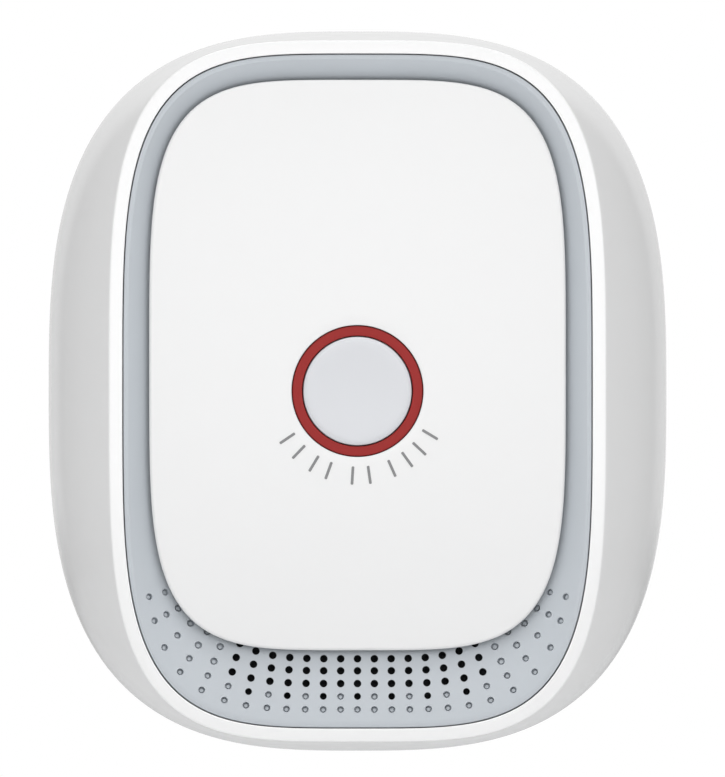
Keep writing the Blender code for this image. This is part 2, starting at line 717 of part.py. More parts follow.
def meet_row(root, normal, inset):
    """Where a column that leaves root along normal meets the row at this inset."""
    half = (OPENING_HALF[0] - inset, OPENING_HALF[1] - inset)
    near, far = -3 * MM, 14 * MM
    for _ in range(30):
        middle = (near + far) / 2
        point = root + normal * middle
        reach = abs(point.x / half[0]) ** GRILLE_ROW_POWER + abs(point.y / half[1]) ** GRILLE_ROW_POWER
        near, far = (middle, far) if reach < 1 else (near, middle)
    return root + normal * near


def drilled_through(column, row):
    """Rows 1 to 3 are drilled in the middle columns, and row 4 in every second one of them."""
    column = abs(column)
    return column <= GRILLE_FULL_COLUMNS and (row <= 3 or (row == 4 and column % 2 == 0))


def sound_bezel():
    land = [
        opening_ring(LAND_DEPTH, SEAM_GAP + LAND_WIDTH),
        opening_ring(LAND_DEPTH, SEAM_GAP),
        opening_ring(LAND_DEPTH - SKIRT_DROP, SEAM_GAP),
        opening_ring(LAND_DEPTH - SKIRT_DROP, SEAM_GAP + SKIRT_THICKNESS),
        opening_ring(LAND_DEPTH - BEZEL_THICKNESS - GAP, SEAM_GAP + SKIRT_THICKNESS),
    ]
    under = [dish_ring(share, BEZEL_THICKNESS) for share in (0.6, 0.8, 1.0)]
    floor_back = at(panel_outline(FLOOR_MARGIN), BEZEL_BACK)
    hole = circle(CENTRE_HOLE)
    floor = [at(hole, BEZEL_BACK), at(hole, FLOOR_DEPTH), at(panel_outline(FLOOR_MARGIN), FLOOR_DEPTH)]
    dish = [dish_ring(share) for share in (1.0, 0.85, 0.68, 0.5, 0.25)]
    rings = land + under + [floor_back] + floor + dish
    bezel = add_part("sound_bezel", loft("sound_bezel", rings, True), BEZEL_GREY)

    into_floor = (BEZEL_BACK + FLOOR_DEPTH) / 2
    posts = cylinders_mesh("board_posts", MAIN_BOSSES, BOSS_RADIUS, ON_MAIN, into_floor)
    snap_depth = BODY_DEPTH - RIM_THICKNESS - GAP
    snap_bottom = LAND_DEPTH - SKIRT_DROP + GAP
    snap_end = wall_half_width(snap_depth, SNAP_HEIGHT + SNAP_LENGTH / 2) - SNAP_ROOM
    snap_start = OPENING_HALF[0] - SEAM_GAP - SKIRT_THICKNESS
    snap_size = (snap_end - snap_start, SNAP_LENGTH, snap_depth - snap_bottom)
    snap_x = (snap_start + snap_end) / 2
    snaps = [
        box_mesh(f"snap_{i}", snap_size, (side * snap_x, height, (snap_depth + snap_bottom) / 2))
        for i, (side, height) in enumerate(
            (side, height) for side in (-1, 1) for height in (-SNAP_HEIGHT, SNAP_HEIGHT)
        )
    ]
    boolean(bezel, "UNION", [posts] + snaps)
    drilled = [hole for hole in grille_places() if drilled_through(*hole[:2])]
    holes = [(x, y) for _, row, x, y in drilled if row <= 3]
    last_holes = [(x, y) for _, row, x, y in drilled if row == 4]
    bottom, top = BEZEL_BACK - MM, BODY_DEPTH + MM
    grille = cylinders_mesh("grille_drill", holes, GRILLE_HOLE_RADIUS, bottom, top, HOLE_STEPS)
    last_row = cylinders_mesh("row_drill", last_holes, GRILLE_LAST_HOLE_RADIUS, bottom, top, HOLE_STEPS)
    peg_holes = cylinders_mesh(
        "peg_holes", peg_places(), PEG_RADIUS + GAP, BEZEL_BACK - MM, FLOOR_DEPTH + MM, SCREW_STEPS
    )
    pilots = cylinders_mesh(
        "post_drill", MAIN_BOSSES, BOARD_SCREW_RADIUS + GAP, ON_MAIN - MM, BEZEL_BACK, SCREW_STEPS
    )
    boolean(bezel, "DIFFERENCE", [grille, last_row, peg_holes, pilots])


def dust_mesh():
    """A fine mesh behind the drilled part of the dish, parallel to its back."""
    spread = OUTLINE_STEPS // 7
    bottom = 3 * OUTLINE_STEPS // 4
    arc = slice(bottom - spread, bottom + spread + 1)
    front = BEZEL_THICKNESS + GAP
    shares = (0.3, 0.55, 0.8, 1.0)
    upper = [dish_ring(share, front)[arc] for share in shares]
    lower = [dish_ring(share, front + MESH_THICKNESS)[arc] for share in shares]
    sections = []
    for step in range(2 * spread + 1):
        sections.append([ring[step] for ring in upper] + [ring[step] for ring in reversed(lower)])
    add_part("dust_mesh", loft("dust_mesh", sections), DARK_PLASTIC)


# --- Panel, ring and button ---------------------------------------------------------------------


def peg_places():
    x = PANEL_HALF[0] - PEG_SIDE_MARGIN
    y = PANEL_HALF[1] - PEG_END_MARGIN
    return [(sx * x, PANEL_CENTRE + sy * y) for sy in (1, -1) for sx in (1, -1)]


def front_panel():
    hole = circle(CENTRE_HOLE)
    face = [
        at(blend(hole, panel_outline(), share), PANEL_EDGE_DEPTH + PANEL_CROWN * (1 - share**2))
        for share in (0.0, 0.4, 0.75)
    ]
    edge = [
        at(panel_outline(PANEL_ROUND), PANEL_EDGE_DEPTH),
        at(panel_outline(), PANEL_EDGE_DEPTH - PANEL_ROUND),
        at(panel_outline(), PANEL_BACK),
    ]
    plinth = [
        at(panel_outline(PLINTH_MARGIN), PANEL_BACK),
        at(panel_outline(PLINTH_MARGIN), PLINTH_DEPTH),
        at(hole, PLINTH_DEPTH),
    ]
    panel = add_part("front_panel", loft("front_panel", face + edge + plinth, True), PANEL_WHITE)
    peg_end, peg_root = BEZEL_BACK - 0.6 * MM, PLINTH_DEPTH + 0.5 * MM
    pegs = cylinders_mesh("pegs", peg_places(), PEG_RADIUS, peg_end, peg_root, SCREW_STEPS)
    boolean(panel, "UNION", [pegs])


def status_light_ring():
    """Translucent ring that carries light from the LEDs to the face, with a flange behind the bezel."""
    flange_radius = RING_RADIUS + RING_FLANGE
    flange_bottom = RING_FLANGE_TOP - RING_FLANGE_THICKNESS
    tube_end = ON_MAIN + LED_HEIGHT + GAP
    profile = [
        (RING_BORE, BODY_DEPTH - RING_DROP),
        (RING_RADIUS, BODY_DEPTH - RING_DROP),
        (RING_RADIUS, RING_FLANGE_TOP),
        (flange_radius, RING_FLANGE_TOP),
        (flange_radius, flange_bottom),
        (TUBE_RADIUS, flange_bottom),
        (TUBE_RADIUS, tube_end),
        (TUBE_BORE, tube_end),
        (TUBE_BORE, RING_STEP),
        (RING_BORE, RING_STEP),
    ]
    turned_part("status_light_ring", RING_RED, profile, ring=True)


def test_button():
    """Cap, guiding skirt, stop flange and the post that works the switch."""
    skirt_bore = BUTTON_RADIUS - SKIRT_WALL
    stop_radius = RING_BORE + STOP_REACH
    stop_bottom = STOP_TOP - STOP_THICKNESS
    post_end = STEM_TOP + POST_CLEARANCE
    profile = [
        (0.0, BUTTON_FACE - BUTTON_DISH),
        (BUTTON_RADIUS * 0.5, BUTTON_FACE - BUTTON_DISH * 0.75),
        (BUTTON_RADIUS * 0.9, BUTTON_FACE),
        (BUTTON_RADIUS, BUTTON_FACE - 0.25 * MM),
        (BUTTON_RADIUS, STOP_TOP),
        (stop_radius, STOP_TOP),
        (stop_radius, stop_bottom),
        (skirt_bore, stop_bottom),
        (skirt_bore, BUTTON_UNDER),
        (POST_RADIUS, BUTTON_UNDER),
        (POST_RADIUS, post_end),
        (0.0, post_end),
    ]
    profile = [(radius, depth - BUTTON_FACE) for radius, depth in profile]
    turned_part("test_button", BUTTON_GREY, profile, base=BUTTON_FACE)


def button_spring():
    """Return spring around the switch, from the main board to the underside of the button."""
    low = ON_MAIN + SPRING_WIRE
    high = BUTTON_UNDER - GAP - SPRING_WIRE
    steps_per_turn = 12
    count = SPRING_TURNS * steps_per_turn
    path = bpy.data.curves.new("button_spring", "CURVE")
    path.dimensions = "3D"
    path.bevel_depth = SPRING_WIRE
    path.bevel_resolution = 1
    path.use_fill_caps = True
    wire = path.splines.new("POLY")
    wire.points.add(count)
    for i, point in enumerate(wire.points):
        turn = 2 * math.pi * i / steps_per_turn
        rise = low + (high - low) * i / count
        point.co = (SPRING_RADIUS * math.cos(turn), SPRING_RADIUS * math.sin(turn), rise, 1.0)
    add_part("button_spring", path, STEEL)


def switch():
    size = (SWITCH_SIZE, SWITCH_SIZE, SWITCH_HEIGHT)
    body = box_part("tact_switch_body", DARK_PLASTIC, size, (0.0, 0.0), ON_MAIN, 0.3 * MM)
    well = cylinders_mesh("stem_well", [(0.0, 0.0)], STEM_RADIUS + GAP, STEM_BASE - 0.6 * MM, SWITCH_TOP + MM)
    boolean(body, "DIFFERENCE", [well])
    profile = [(0.0, STEM_TOP), (STEM_RADIUS, STEM_TOP), (STEM_RADIUS, STEM_BASE), (0.0, STEM_BASE)]
    profile = [(radius, depth - STEM_TOP) for radius, depth in profile]
    turned_part("tact_switch_stem", DARK_PLASTIC, profile, base=STEM_TOP, steps=SMALL_STEPS)


def status_leds():
    reach = (TUBE_BORE + TUBE_RADIUS) / 2
    for i in range(4):
        turn = math.pi / 4 + i * math.pi / 2
        place = (reach * math.cos(turn), reach * math.sin(turn))
        box_part(f"status_led_{i + 1}", LED_CLEAR, (LED_SIZE, LED_SIZE, LED_HEIGHT), place, ON_MAIN)


# --- Main board and what it carries -------------------------------------------------------------


def main_board():
    shape = outline(MAIN_HALF, BOARD_POWER)
    rings = [at(shape, MAIN_BACK), at(shape, MAIN_FRONT)]
    board = add_part("main_board", loft("main_board", rings), BOARD_GREEN)
    hole_radius = BOARD_SCREW_RADIUS + GAP
    holes = cylinders_mesh("holes", MAIN_BOSSES, hole_radius, MAIN_BACK - MM, MAIN_FRONT + MM, SCREW_STEPS)
    boolean(board, "DIFFERENCE", [holes])
    for i, place in enumerate(MAIN_BOSSES, 1):
        screw_part(
            f"board_screw_{i}",
            place,
            MAIN_BACK - GAP - BOARD_SCREW_HEAD_HEIGHT,
            1,
            BOARD_SCREW_RADIUS,
            BOARD_SCREW_HEAD_RADIUS,
            BOARD_SCREW_HEAD_HEIGHT,
            BOARD_SCREW_LENGTH,
        )
    box_part("microcontroller", DARK_PLASTIC, CHIP_SIZE, CHIP_PLACE, ON_MAIN, COMPONENT_ROUND / 2)


def sensor():
    cell = [
        (0.0, SENSOR_HEIGHT + SENSOR_NECK_HEIGHT),
        (SENSOR_NECK_RADIUS, SENSOR_HEIGHT + SENSOR_NECK_HEIGHT),
        (SENSOR_NECK_RADIUS, SENSOR_HEIGHT),
        (SENSOR_RADIUS - 0.4 * MM, SENSOR_HEIGHT),
        (SENSOR_RADIUS, SENSOR_HEIGHT - 0.4 * MM),
        (SENSOR_RADIUS, 0.0),
        (0.0, 0.0),
    ]
    turned_part("sensor_cell", NICKEL, cell, SENSOR_PLACE, ON_MAIN, 32)
    cap = [
        (FILTER_HOLE_RADIUS, FILTER_HEIGHT),
        (FILTER_RADIUS - 0.3 * MM, FILTER_HEIGHT),
        (FILTER_RADIUS, FILTER_HEIGHT - 0.3 * MM),
        (FILTER_RADIUS, 0.0),
        (SENSOR_NECK_RADIUS + GAP, 0.0),
        (SENSOR_NECK_RADIUS + GAP, SENSOR_NECK_HEIGHT),
        (FILTER_HOLE_RADIUS, SENSOR_NECK_HEIGHT),
    ]
    turned_part("sensor_filter_cap", DARK_PLASTIC, cap, SENSOR_PLACE, ON_MAIN + SENSOR_HEIGHT + GAP, 32, True)


def sounder():
    ledge = SOUNDER_HEIGHT - DISC_DROP
    bore = SOUNDER_RADIUS - SOUNDER_WALL
    case = [
        (SOUNDER_HOLE_RADIUS, SOUNDER_HEIGHT),
        (SOUNDER_RADIUS - 0.4 * MM, SOUNDER_HEIGHT),
        (SOUNDER_RADIUS, SOUNDER_HEIGHT - 0.4 * MM),
        (SOUNDER_RADIUS, 0.0),
        (bore, 0.0),
        (bore, ledge),
        (bore - SOUNDER_LEDGE, ledge),
        (bore - SOUNDER_LEDGE, SOUNDER_HEIGHT - SOUNDER_WALL),
        (SOUNDER_HOLE_RADIUS, SOUNDER_HEIGHT - SOUNDER_WALL),
    ]
    turned_part("sounder_case", DARK_PLASTIC, case, SOUNDER_PLACE, ON_MAIN, ring=True)
    disc_radius = bore - GAP
    disc_top = ledge - GAP
    disc = [
        (0.0, disc_top),
        (disc_radius, disc_top),
        (disc_radius, disc_top - DISC_THICKNESS),
        (0.0, disc_top - DISC_THICKNESS),
    ]
    turned_part("sounder_disc", BRASS, disc, SOUNDER_PLACE, ON_MAIN, 32)
    gasket = [
        (GASKET_INNER_RADIUS, GASKET_THICKNESS),
        (GASKET_OUTER_RADIUS, GASKET_THICKNESS),
        (GASKET_OUTER_RADIUS, 0.0),
        (GASKET_INNER_RADIUS, 0.0),
    ]
    turned_part("sounder_gasket", FOAM, gasket, SOUNDER_PLACE, ON_MAIN + SOUNDER_HEIGHT + GAP, 32, True)


# --- Power board, its components and the plug ---------------------------------------------------


def blade_centres():
    return (-BLADE_PITCH / 2, BLADE_PITCH / 2)


def tail_slots(name, low, high):
    size = (BLADE_THICKNESS + 2 * GAP, TAIL_WIDTH + 2 * GAP, high - low)
    middle = (low + high) / 2
    return [box_mesh(f"{name}_{i}", size, (x, BLADE_HEIGHT, middle)) for i, x in enumerate(blade_centres())]


def power_board():
    shape = outline(POWER_HALF, 2 * BOARD_POWER)
    rings = [at(shape, POWER_BOARD_DEPTH), at(shape, POWER_FRONT)]
    board = add_part("power_board", loft("power_board", rings), BOARD_GREEN)
    low, high = POWER_BOARD_DEPTH - MM, POWER_FRONT + MM
    holes = cylinders_mesh("holes", POWER_SCREWS, BOARD_SCREW_RADIUS + GAP, low, high, SCREW_STEPS)
    slots = tail_slots("board_slot", low, high)
    boolean(board, "DIFFERENCE", [holes] + slots)
    for i, place in enumerate(POWER_SCREWS, 1):
        screw_part(
            f"power_board_screw_{i}",
            place,
            ON_POWER + BOARD_SCREW_HEAD_HEIGHT,
            -1,
            BOARD_SCREW_RADIUS,
            BOARD_SCREW_HEAD_RADIUS,
            BOARD_SCREW_HEAD_HEIGHT,
            POWER_SCREW_LENGTH,
        )


def lying_cylinder(name, finish, radius, length, place, along, steps=SMALL_STEPS):
    """A cylinder lying on the power board, along X or along Y, with rounded ends."""
    profile = [
        (0.0, length / 2),
        (radius * 0.85, length / 2),
        (radius, length / 2 - COMPONENT_ROUND),
        (radius, COMPONENT_ROUND - length / 2),
        (radius * 0.85, -length / 2),
        (0.0, -length / 2),
    ]
    made = turned_part(name, finish, profile, place, ON_POWER + radius, steps)
    made.rotation_euler = (0.0, math.pi / 2, 0.0) if along == "X" else (math.pi / 2, 0.0, 0.0)


def power_components():
    lying_cylinder("fuse", FUSE_BODY, FUSE_RADIUS, FUSE_LENGTH, FUSE_PLACE, "X")
    lying_cylinder("varistor", VARISTOR_BLUE, VARISTOR_RADIUS, VARISTOR_LENGTH, (0.0, BLADE_HEIGHT), "X")
    box_part("x_capacitor", CAPACITOR_YELLOW, X_CAPACITOR_SIZE, X_CAPACITOR_PLACE, ON_POWER, COMPONENT_ROUND)
    box_part("bridge_rectifier", DARK_PLASTIC, RECTIFIER_SIZE, RECTIFIER_PLACE, ON_POWER, COMPONENT_ROUND)
    large = (LARGE_CAPACITOR_RADIUS, LARGE_CAPACITOR_LENGTH, LARGE_CAPACITOR_PLACE)
    lying_cylinder("bulk_capacitor_1", DARK_PLASTIC, *large, "Y", 24)
    small = (SMALL_CAPACITOR_RADIUS, SMALL_CAPACITOR_LENGTH, SMALL_CAPACITOR_PLACE)
    lying_cylinder("bulk_capacitor_2", DARK_PLASTIC, *small, "X")


def transformer():
    """A ferrite core of three legs, and the wound bobbin around its middle leg."""
    x, y = TRANSFORMER_PLACE
    bobbin_height = MAIN_BACK - TRANSFORMER_ROOM - ON_POWER
    middle = ON_POWER + bobbin_height / 2
    core = add_part("transformer_core", box_mesh("transformer_core", CORE_SIZE), FERRITE, (x, y, middle))
    window_size = (*CORE_WINDOW, CORE_SIZE[2] + 2 * MM)
    window_x = (CORE_LEG + CORE_WINDOW[0]) / 2
    windows = [
        box_mesh(f"window_{i}", window_size, (x + side * window_x, y, middle))
        for i, side in enumerate((-1, 1))
    ]
    boolean(core, "DIFFERENCE", windows)
    bobbin_size = (CORE_LEG + 2 * CORE_WINDOW[0] - 2 * GAP, CORE_WINDOW[1] - 2 * GAP, bobbin_height)
    bobbin = box_part("transformer_bobbin", TAPE_YELLOW, bobbin_size, TRANSFORMER_PLACE, ON_POWER)
    bore_size = (CORE_LEG + 2 * GAP, CORE_WINDOW[1] + 2 * MM, CORE_SIZE[2] + 2 * GAP)
    boolean(bobbin, "DIFFERENCE", [box_mesh("bobbin_bore", bore_size, (x, y, middle))])


def board_header():
    """Pin header that joins the two boards across the space between them."""
    low, high = ON_POWER, MAIN_BACK - GAP
    place = (HEADER_SIDE, POWER_HALF[1] - HEADER_TOP_MARGIN)
    box_part("board_header", DARK_PLASTIC, (*HEADER_SIZE, high - low), place, low, COMPONENT_ROUND)


def plug_blades():
    """Flat mains blades with a shoulder behind the rear cover and a tail through the power board."""
    shoulder_low = BACK_THICKNESS + GAP
    shoulder_high = shoulder_low + SHOULDER_THICKNESS
    tail_end = POWER_FRONT + TAIL_STICKOUT
    half_outline = [
        (BLADE_WIDTH / 2 - BLADE_TIP, -BLADE_LENGTH),
        (BLADE_WIDTH / 2, BLADE_TIP - BLADE_LENGTH),
        (BLADE_WIDTH / 2, shoulder_low),
        (SHOULDER_WIDTH / 2, shoulder_low),
        (SHOULDER_WIDTH / 2, shoulder_high),
        (TAIL_WIDTH / 2, shoulder_high),
        (TAIL_WIDTH / 2, tail_end),
    ]
    whole = half_outline + [(-y, z) for y, z in reversed(half_outline)]
    for side, x in zip(("left", "right"), blade_centres()):
        name = f"plug_blade_{side}"
        faces = [
            [(x + shift, BLADE_HEIGHT + y, z) for y, z in whole]
            for shift in (-BLADE_THICKNESS / 2, BLADE_THICKNESS / 2)
        ]
        blade = add_part(name, loft(name, faces), BRASS)
        drill = cylinders_mesh(f"{name}_hole", [(0.0, 0.0)], BLADE_HOLE_RADIUS, -2 * MM, 2 * MM)
        drill.transform(
            Matrix.Translation((x, BLADE_HEIGHT, -BLADE_HOLE_DISTANCE)) @ Matrix.Rotation(math.pi / 2, 4, "Y")
        )
        boolean(blade, "DIFFERENCE", [drill])


def blade_holder():
    """Insulating block that keeps the blades' shoulders against the rear cover."""
    base = BACK_THICKNESS + GAP
    place = (0.0, BLADE_HEIGHT)
    holder = box_part("blade_holder", DARK_PLASTIC, HOLDER_SIZE, place, base)
    shoulder_top = base + SHOULDER_THICKNESS + GAP
    pockets = [
        box_mesh(
            f"pocket_{i}",
            (BLADE_THICKNESS + 2 * GAP, SHOULDER_WIDTH + 2 * GAP, 2 * (shoulder_top - base)),
            (x, BLADE_HEIGHT, base),
        )
        for i, x in enumerate(blade_centres())
    ]
    boolean(holder, "DIFFERENCE", pockets)
    boolean(holder, "DIFFERENCE", tail_slots("holder_slot", base, base + HOLDER_SIZE[2] + MM))


# --- Assembly -----------------------------------------------------------------------------------

front_housing()
rear_cover()
casing_screws()
rating_label()
sound_bezel()
dust_mesh()
front_panel()
status_light_ring()
test_button()
button_spring()
switch()
status_leds()
main_board()
sensor()
sounder()
power_board()
power_components()
transformer()
board_header()
plug_blades()
blade_holder()
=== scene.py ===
"""Plug-in carbon monoxide detector: its fine surfaces, finishes, camera and light.

Metres, +Z up. The face looks along -Y and the flat back lies in the plane y = 0, so a point that is
(x, z) across the face and a given depth out from the wall stands at (x, -depth, z).
"""

import math

import bmesh
import bpy
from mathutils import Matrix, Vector


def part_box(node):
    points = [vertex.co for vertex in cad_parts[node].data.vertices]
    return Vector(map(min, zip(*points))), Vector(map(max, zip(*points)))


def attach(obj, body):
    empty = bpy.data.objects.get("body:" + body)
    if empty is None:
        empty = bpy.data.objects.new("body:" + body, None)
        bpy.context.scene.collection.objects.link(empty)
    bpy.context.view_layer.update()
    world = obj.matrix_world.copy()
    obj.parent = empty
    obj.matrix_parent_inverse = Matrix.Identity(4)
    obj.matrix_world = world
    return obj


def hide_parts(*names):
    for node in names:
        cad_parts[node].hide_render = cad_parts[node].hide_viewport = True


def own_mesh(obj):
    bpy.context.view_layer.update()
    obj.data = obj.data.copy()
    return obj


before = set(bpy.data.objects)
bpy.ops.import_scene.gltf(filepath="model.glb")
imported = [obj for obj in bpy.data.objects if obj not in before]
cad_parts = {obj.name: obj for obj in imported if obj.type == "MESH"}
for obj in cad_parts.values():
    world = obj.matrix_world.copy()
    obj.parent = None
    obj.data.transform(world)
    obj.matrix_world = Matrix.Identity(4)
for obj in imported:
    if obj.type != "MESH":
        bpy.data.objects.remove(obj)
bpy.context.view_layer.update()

MM = 0.001

# --- Sizes of the casing and its face ------------------------------------------------------------

BODY_WIDTH = 68.4 * MM
BODY_HEIGHT = 79.6 * MM
BODY_DEPTH = 31.0 * MM
WIDEST_DEPTH = 10.0 * MM
PARTING_DEPTH = 6.0 * MM
BACK_INSET = 3.0 * MM
BACK_THICKNESS = 2.0 * MM
WALL = 1.5 * MM
GAP = 0.3 * MM
SEAM_GAP = 0.11 * MM
RIM_BACK = 29.2 * MM
LIP_ROUND, SHOULDER_ROUND, FOOT_ROUND = 0.12 * MM, 0.14 * MM, 0.15 * MM
LAP_TOP, LAP_FOOT = 9.0 * MM, 4.0 * MM
LAP_THICKNESS = 1.2 * MM
RIM_HALF = (27.3 * MM, 38.55 * MM)
OPENING_HALF = (25.85 * MM, 37.1 * MM)
PANEL_HALF = (22.9 * MM, 31.36 * MM)
PANEL_CENTRE = 2.86 * MM
BODY_POWER, RIM_POWER, OPENING_POWER, PANEL_POWER = 2.94, 3.8, 3.92, 4.24

LAND_DEPTH = 30.8 * MM
LAND_WIDTH = 0.5 * MM
DISH_DROP = 1.8 * MM
DISH_CURVE = 1.1
FLOOR_DEPTH = 28.2 * MM
FLOOR_MARGIN = 1.5 * MM
BEZEL_THICKNESS = 1.4 * MM
BEZEL_BACK = FLOOR_DEPTH - BEZEL_THICKNESS
PANEL_FACE = 30.7 * MM
PANEL_CROWN = 0.4 * MM
PANEL_ROUND = 0.35 * MM
PANEL_BACK = 29.6 * MM

BUTTON_RADIUS = 5.96 * MM
BUTTON_FACE = 31.2 * MM
BUTTON_DISH = 0.25 * MM
RING_BORE = 6.08 * MM
RING_RADIUS = 7.15 * MM
RING_TOP = BODY_DEPTH - 0.05 * MM
CENTRE_HOLE = 7.25 * MM
STOP_TOP = 25.65 * MM
TUBE_BORE, TUBE_RADIUS = 6.92 * MM, 7.87 * MM

HOLE_RADIUS = 0.42 * MM
LAST_HOLE_RADIUS = 0.38 * MM  # in the last drilled row and the row after it
DRILLED_ROWS = 3  # and every second column of one row more
DRILLED_COLUMNS = 7  # on each side of the middle one
LAST_COLUMN = 12
ROW_INSETS = (7.65 * MM, 6.33 * MM, 4.93 * MM, 3.53 * MM, 2.1 * MM)  # in from the opening
ROW_POWER = 4.35
COLUMN_PITCH = 1.847 * MM
GUIDE_HALF = (PANEL_HALF[0] - 3.05 * MM, 13.15 * MM)
GUIDE_POWER = 3.39
SIDE_COLUMNS = {10: (3, 1.95 * MM), 11: (3, 1.47 * MM), 12: (2, 1.82 * MM)}  # dimples, and their own pitch

MARK_TURNS = (-56, -44, -31, -20, -3.4, 8, 24, 36, 47, 59)  # degrees from straight under the button
MARK_RADIUS = 9.3 * MM
MARK_SIZE = (0.3 * MM, 0.05 * MM, 2.0 * MM)

BLADE_HEIGHT = 9.0 * MM
BLADE_SPREAD = 6.35 * MM
BLADE_THICKNESS, BLADE_WIDTH = 1.5 * MM, 6.35 * MM
BLADE_REACH, BLADE_ROOT = 17.5 * MM, -2.3 * MM
LABEL_SIZE = (30 * MM, 18 * MM)
LABEL_HEIGHT = -20 * MM
LABEL_FRAME = 1.4 * MM  # from the label's edge to its printed line
SCREW_INSET = 4.0 * MM
STEPS = 240

# --- Modelling -----------------------------------------------------------------------------------


def outline(half, power, centre=0.0, inset=0.0, steps=STEPS):
    """Points of a superellipse, anticlockwise from +X, moved in by inset."""
    points = []
    for step in range(steps):
        turn = 2 * math.pi * step / steps
        c, s = math.cos(turn), math.sin(turn)
        reach = (abs(c) ** power + abs(s) ** power) ** (-1 / power)
        points.append(((half[0] - inset) * c * reach, centre + (half[1] - inset) * s * reach))
    return points


def circle(radius, steps=STEPS):
    return outline((radius, radius), 2, steps=steps)


def between(first, second, share):
    """The outline that lies this share of the way from one outline to another."""
    return [(a[0] + (b[0] - a[0]) * share, a[1] + (b[1] - a[1]) * share) for a, b in zip(first, second)]


def at(points, depth):
    return [(x, -depth, z) for x, z in points]


def edge_round(radius, count=5):
    """(inset, drop) pairs of a quarter round, from the face out to the side."""
    turns = [math.pi / 2 * step / count for step in range(count + 1)]
    return [(radius * (1 - math.sin(turn)), radius * (1 - math.cos(turn))) for turn in turns]


def steps_between(start, end, count):
    return [start + (end - start) * step / count for step in range(count + 1)]


def place_ring(piece, ring):
    """Moves the selected ring of vertices to its points."""
    work = bmesh.from_edit_mesh(piece.data)
    order = work.verts.layers.int["order"]
    for vert in work.verts:
        if vert.select:
            vert.co = ring[vert[order]]
    bmesh.update_edit_mesh(piece.data)


def drawn_out(name, rings, closed=False):
    """A skin drawn out of its first ring, edge after edge. A closed one comes back to that ring, and
    any other has both its ends filled."""
    bpy.ops.object.select_all(action="DESELECT")
    bpy.ops.mesh.primitive_circle_add(vertices=len(rings[0]), radius=10 * MM)
    piece = bpy.context.object
    piece.name = piece.data.name = name
    order = piece.data.attributes.new("order", "INT", "POINT")
    order.data.foreach_set("value", range(len(rings[0])))
    bpy.ops.object.mode_set(mode="EDIT")
    bpy.ops.mesh.select_mode(type="VERT")
    bpy.ops.mesh.select_all(action="SELECT")
    place_ring(piece, rings[0])
    for ring in rings[1:] + rings[:1] * closed:
        bpy.ops.mesh.extrude_region_move()
        place_ring(piece, ring)
    if not closed:
        bpy.ops.mesh.edge_face_add()
        bpy.ops.mesh.select_all(action="DESELECT")
        bpy.ops.mesh.select_non_manifold()
        bpy.ops.mesh.edge_face_add()
    bpy.ops.mesh.select_all(action="SELECT")
    bpy.ops.mesh.remove_doubles(threshold=0.000001)
    bpy.ops.mesh.normals_make_consistent(inside=False)
    bpy.ops.object.mode_set(mode="OBJECT")
    piece.data.attributes.remove(piece.data.attributes["order"])
    return piece


def turned(name, profile, closed=False, steps=96):
    """A round piece from (radius, depth) pairs."""
    return drawn_out(name, [at(circle(radius, steps), depth) for radius, depth in profile], closed)


def take(piece):
    """Makes this the one selected, active object."""
    bpy.ops.object.select_all(action="DESELECT")
    piece.select_set(True)
    bpy.context.view_layer.objects.active = piece


def apply_modifier(piece, kind, **settings):
    take(piece)
    change = piece.modifiers.new(kind.lower(), kind)
    for key, value in settings.items():
        setattr(change, key, value)
    bpy.ops.object.modifier_apply(modifier=change.name)


def soften(piece, width, segments=2, angle=40):
    apply_modifier(
        piece, "BEVEL", width=width, segments=segments, limit_method="ANGLE", angle_limit=math.radians(angle)
    )


def copy_of(piece, offset=(0.0, 0.0, 0.0)):
    """A copy with its own mesh, moved by offset."""
    take(piece)
    bpy.ops.object.duplicate_move(TRANSFORM_OT_translate={"value": offset})
    made = bpy.context.object
    bpy.ops.object.transform_apply(location=True, rotation=True, scale=True)
    return made


def joined(pieces, name):
    bpy.ops.object.select_all(action="DESELECT")
    for piece in pieces:
        piece.select_set(True)
    bpy.context.view_layer.objects.active = pieces[0]
    bpy.ops.object.join()
    pieces[0].name = pieces[0].data.name = name
    return pieces[0]


def cut(piece, cutters, operation="DIFFERENCE"):
    """Cuts shapes out of a piece, and uses them up."""
    cutter = joined(cutters, piece.name + "_cutter")
    apply_modifier(piece, "BOOLEAN", operation=operation, solver="EXACT", object=cutter)
    bpy.data.objects.remove(cutter, do_unlink=True)


def rod(centre, radius, low, high, axis="Y", steps=32):
    """A straight round cutter from low to high along its axis. centre gives the other two places."""
    middle, length = (low + high) / 2, high - low
    if axis == "Y":
        place, turn = (centre[0], -middle, centre[1]), (math.pi / 2, 0.0, 0.0)
    else:
        place, turn = (middle, *centre), (0.0, math.pi / 2, 0.0)
    bpy.ops.object.select_all(action="DESELECT")
    bpy.ops.mesh.primitive_cylinder_add(
        vertices=steps, radius=radius, depth=length, location=place, rotation=turn
    )
    bpy.ops.object.transform_apply(location=True, rotation=True, scale=True)
    return bpy.context.object


def block(centre, size, turn=0.0):
    """A box at its size and place, turned about the depth axis."""
    bpy.ops.object.select_all(action="DESELECT")
    bpy.ops.mesh.primitive_cube_add(size=1.0, location=centre, rotation=(0.0, turn, 0.0), scale=size)
    bpy.ops.object.transform_apply(location=True, rotation=True, scale=True)
    return bpy.context.object


def pick(piece, kind, test):
    """In edit mode, selects only the faces or edges that pass the test."""
    bpy.ops.mesh.select_mode(type={"faces": "FACE", "edges": "EDGE"}[kind])
    bpy.ops.mesh.select_all(action="DESELECT")
    work = bmesh.from_edit_mesh(piece.data)
    for item in getattr(work, kind):
        if test(item):
            item.select_set(True)
    work.select_flush_mode()
    bmesh.update_edit_mesh(piece.data)


def runs_in_depth(edge):
    """True for an edge that runs from a flat block's front to its back."""
    return abs(edge.verts[0].co.y - edge.verts[1].co.y) > 0.01 * MM


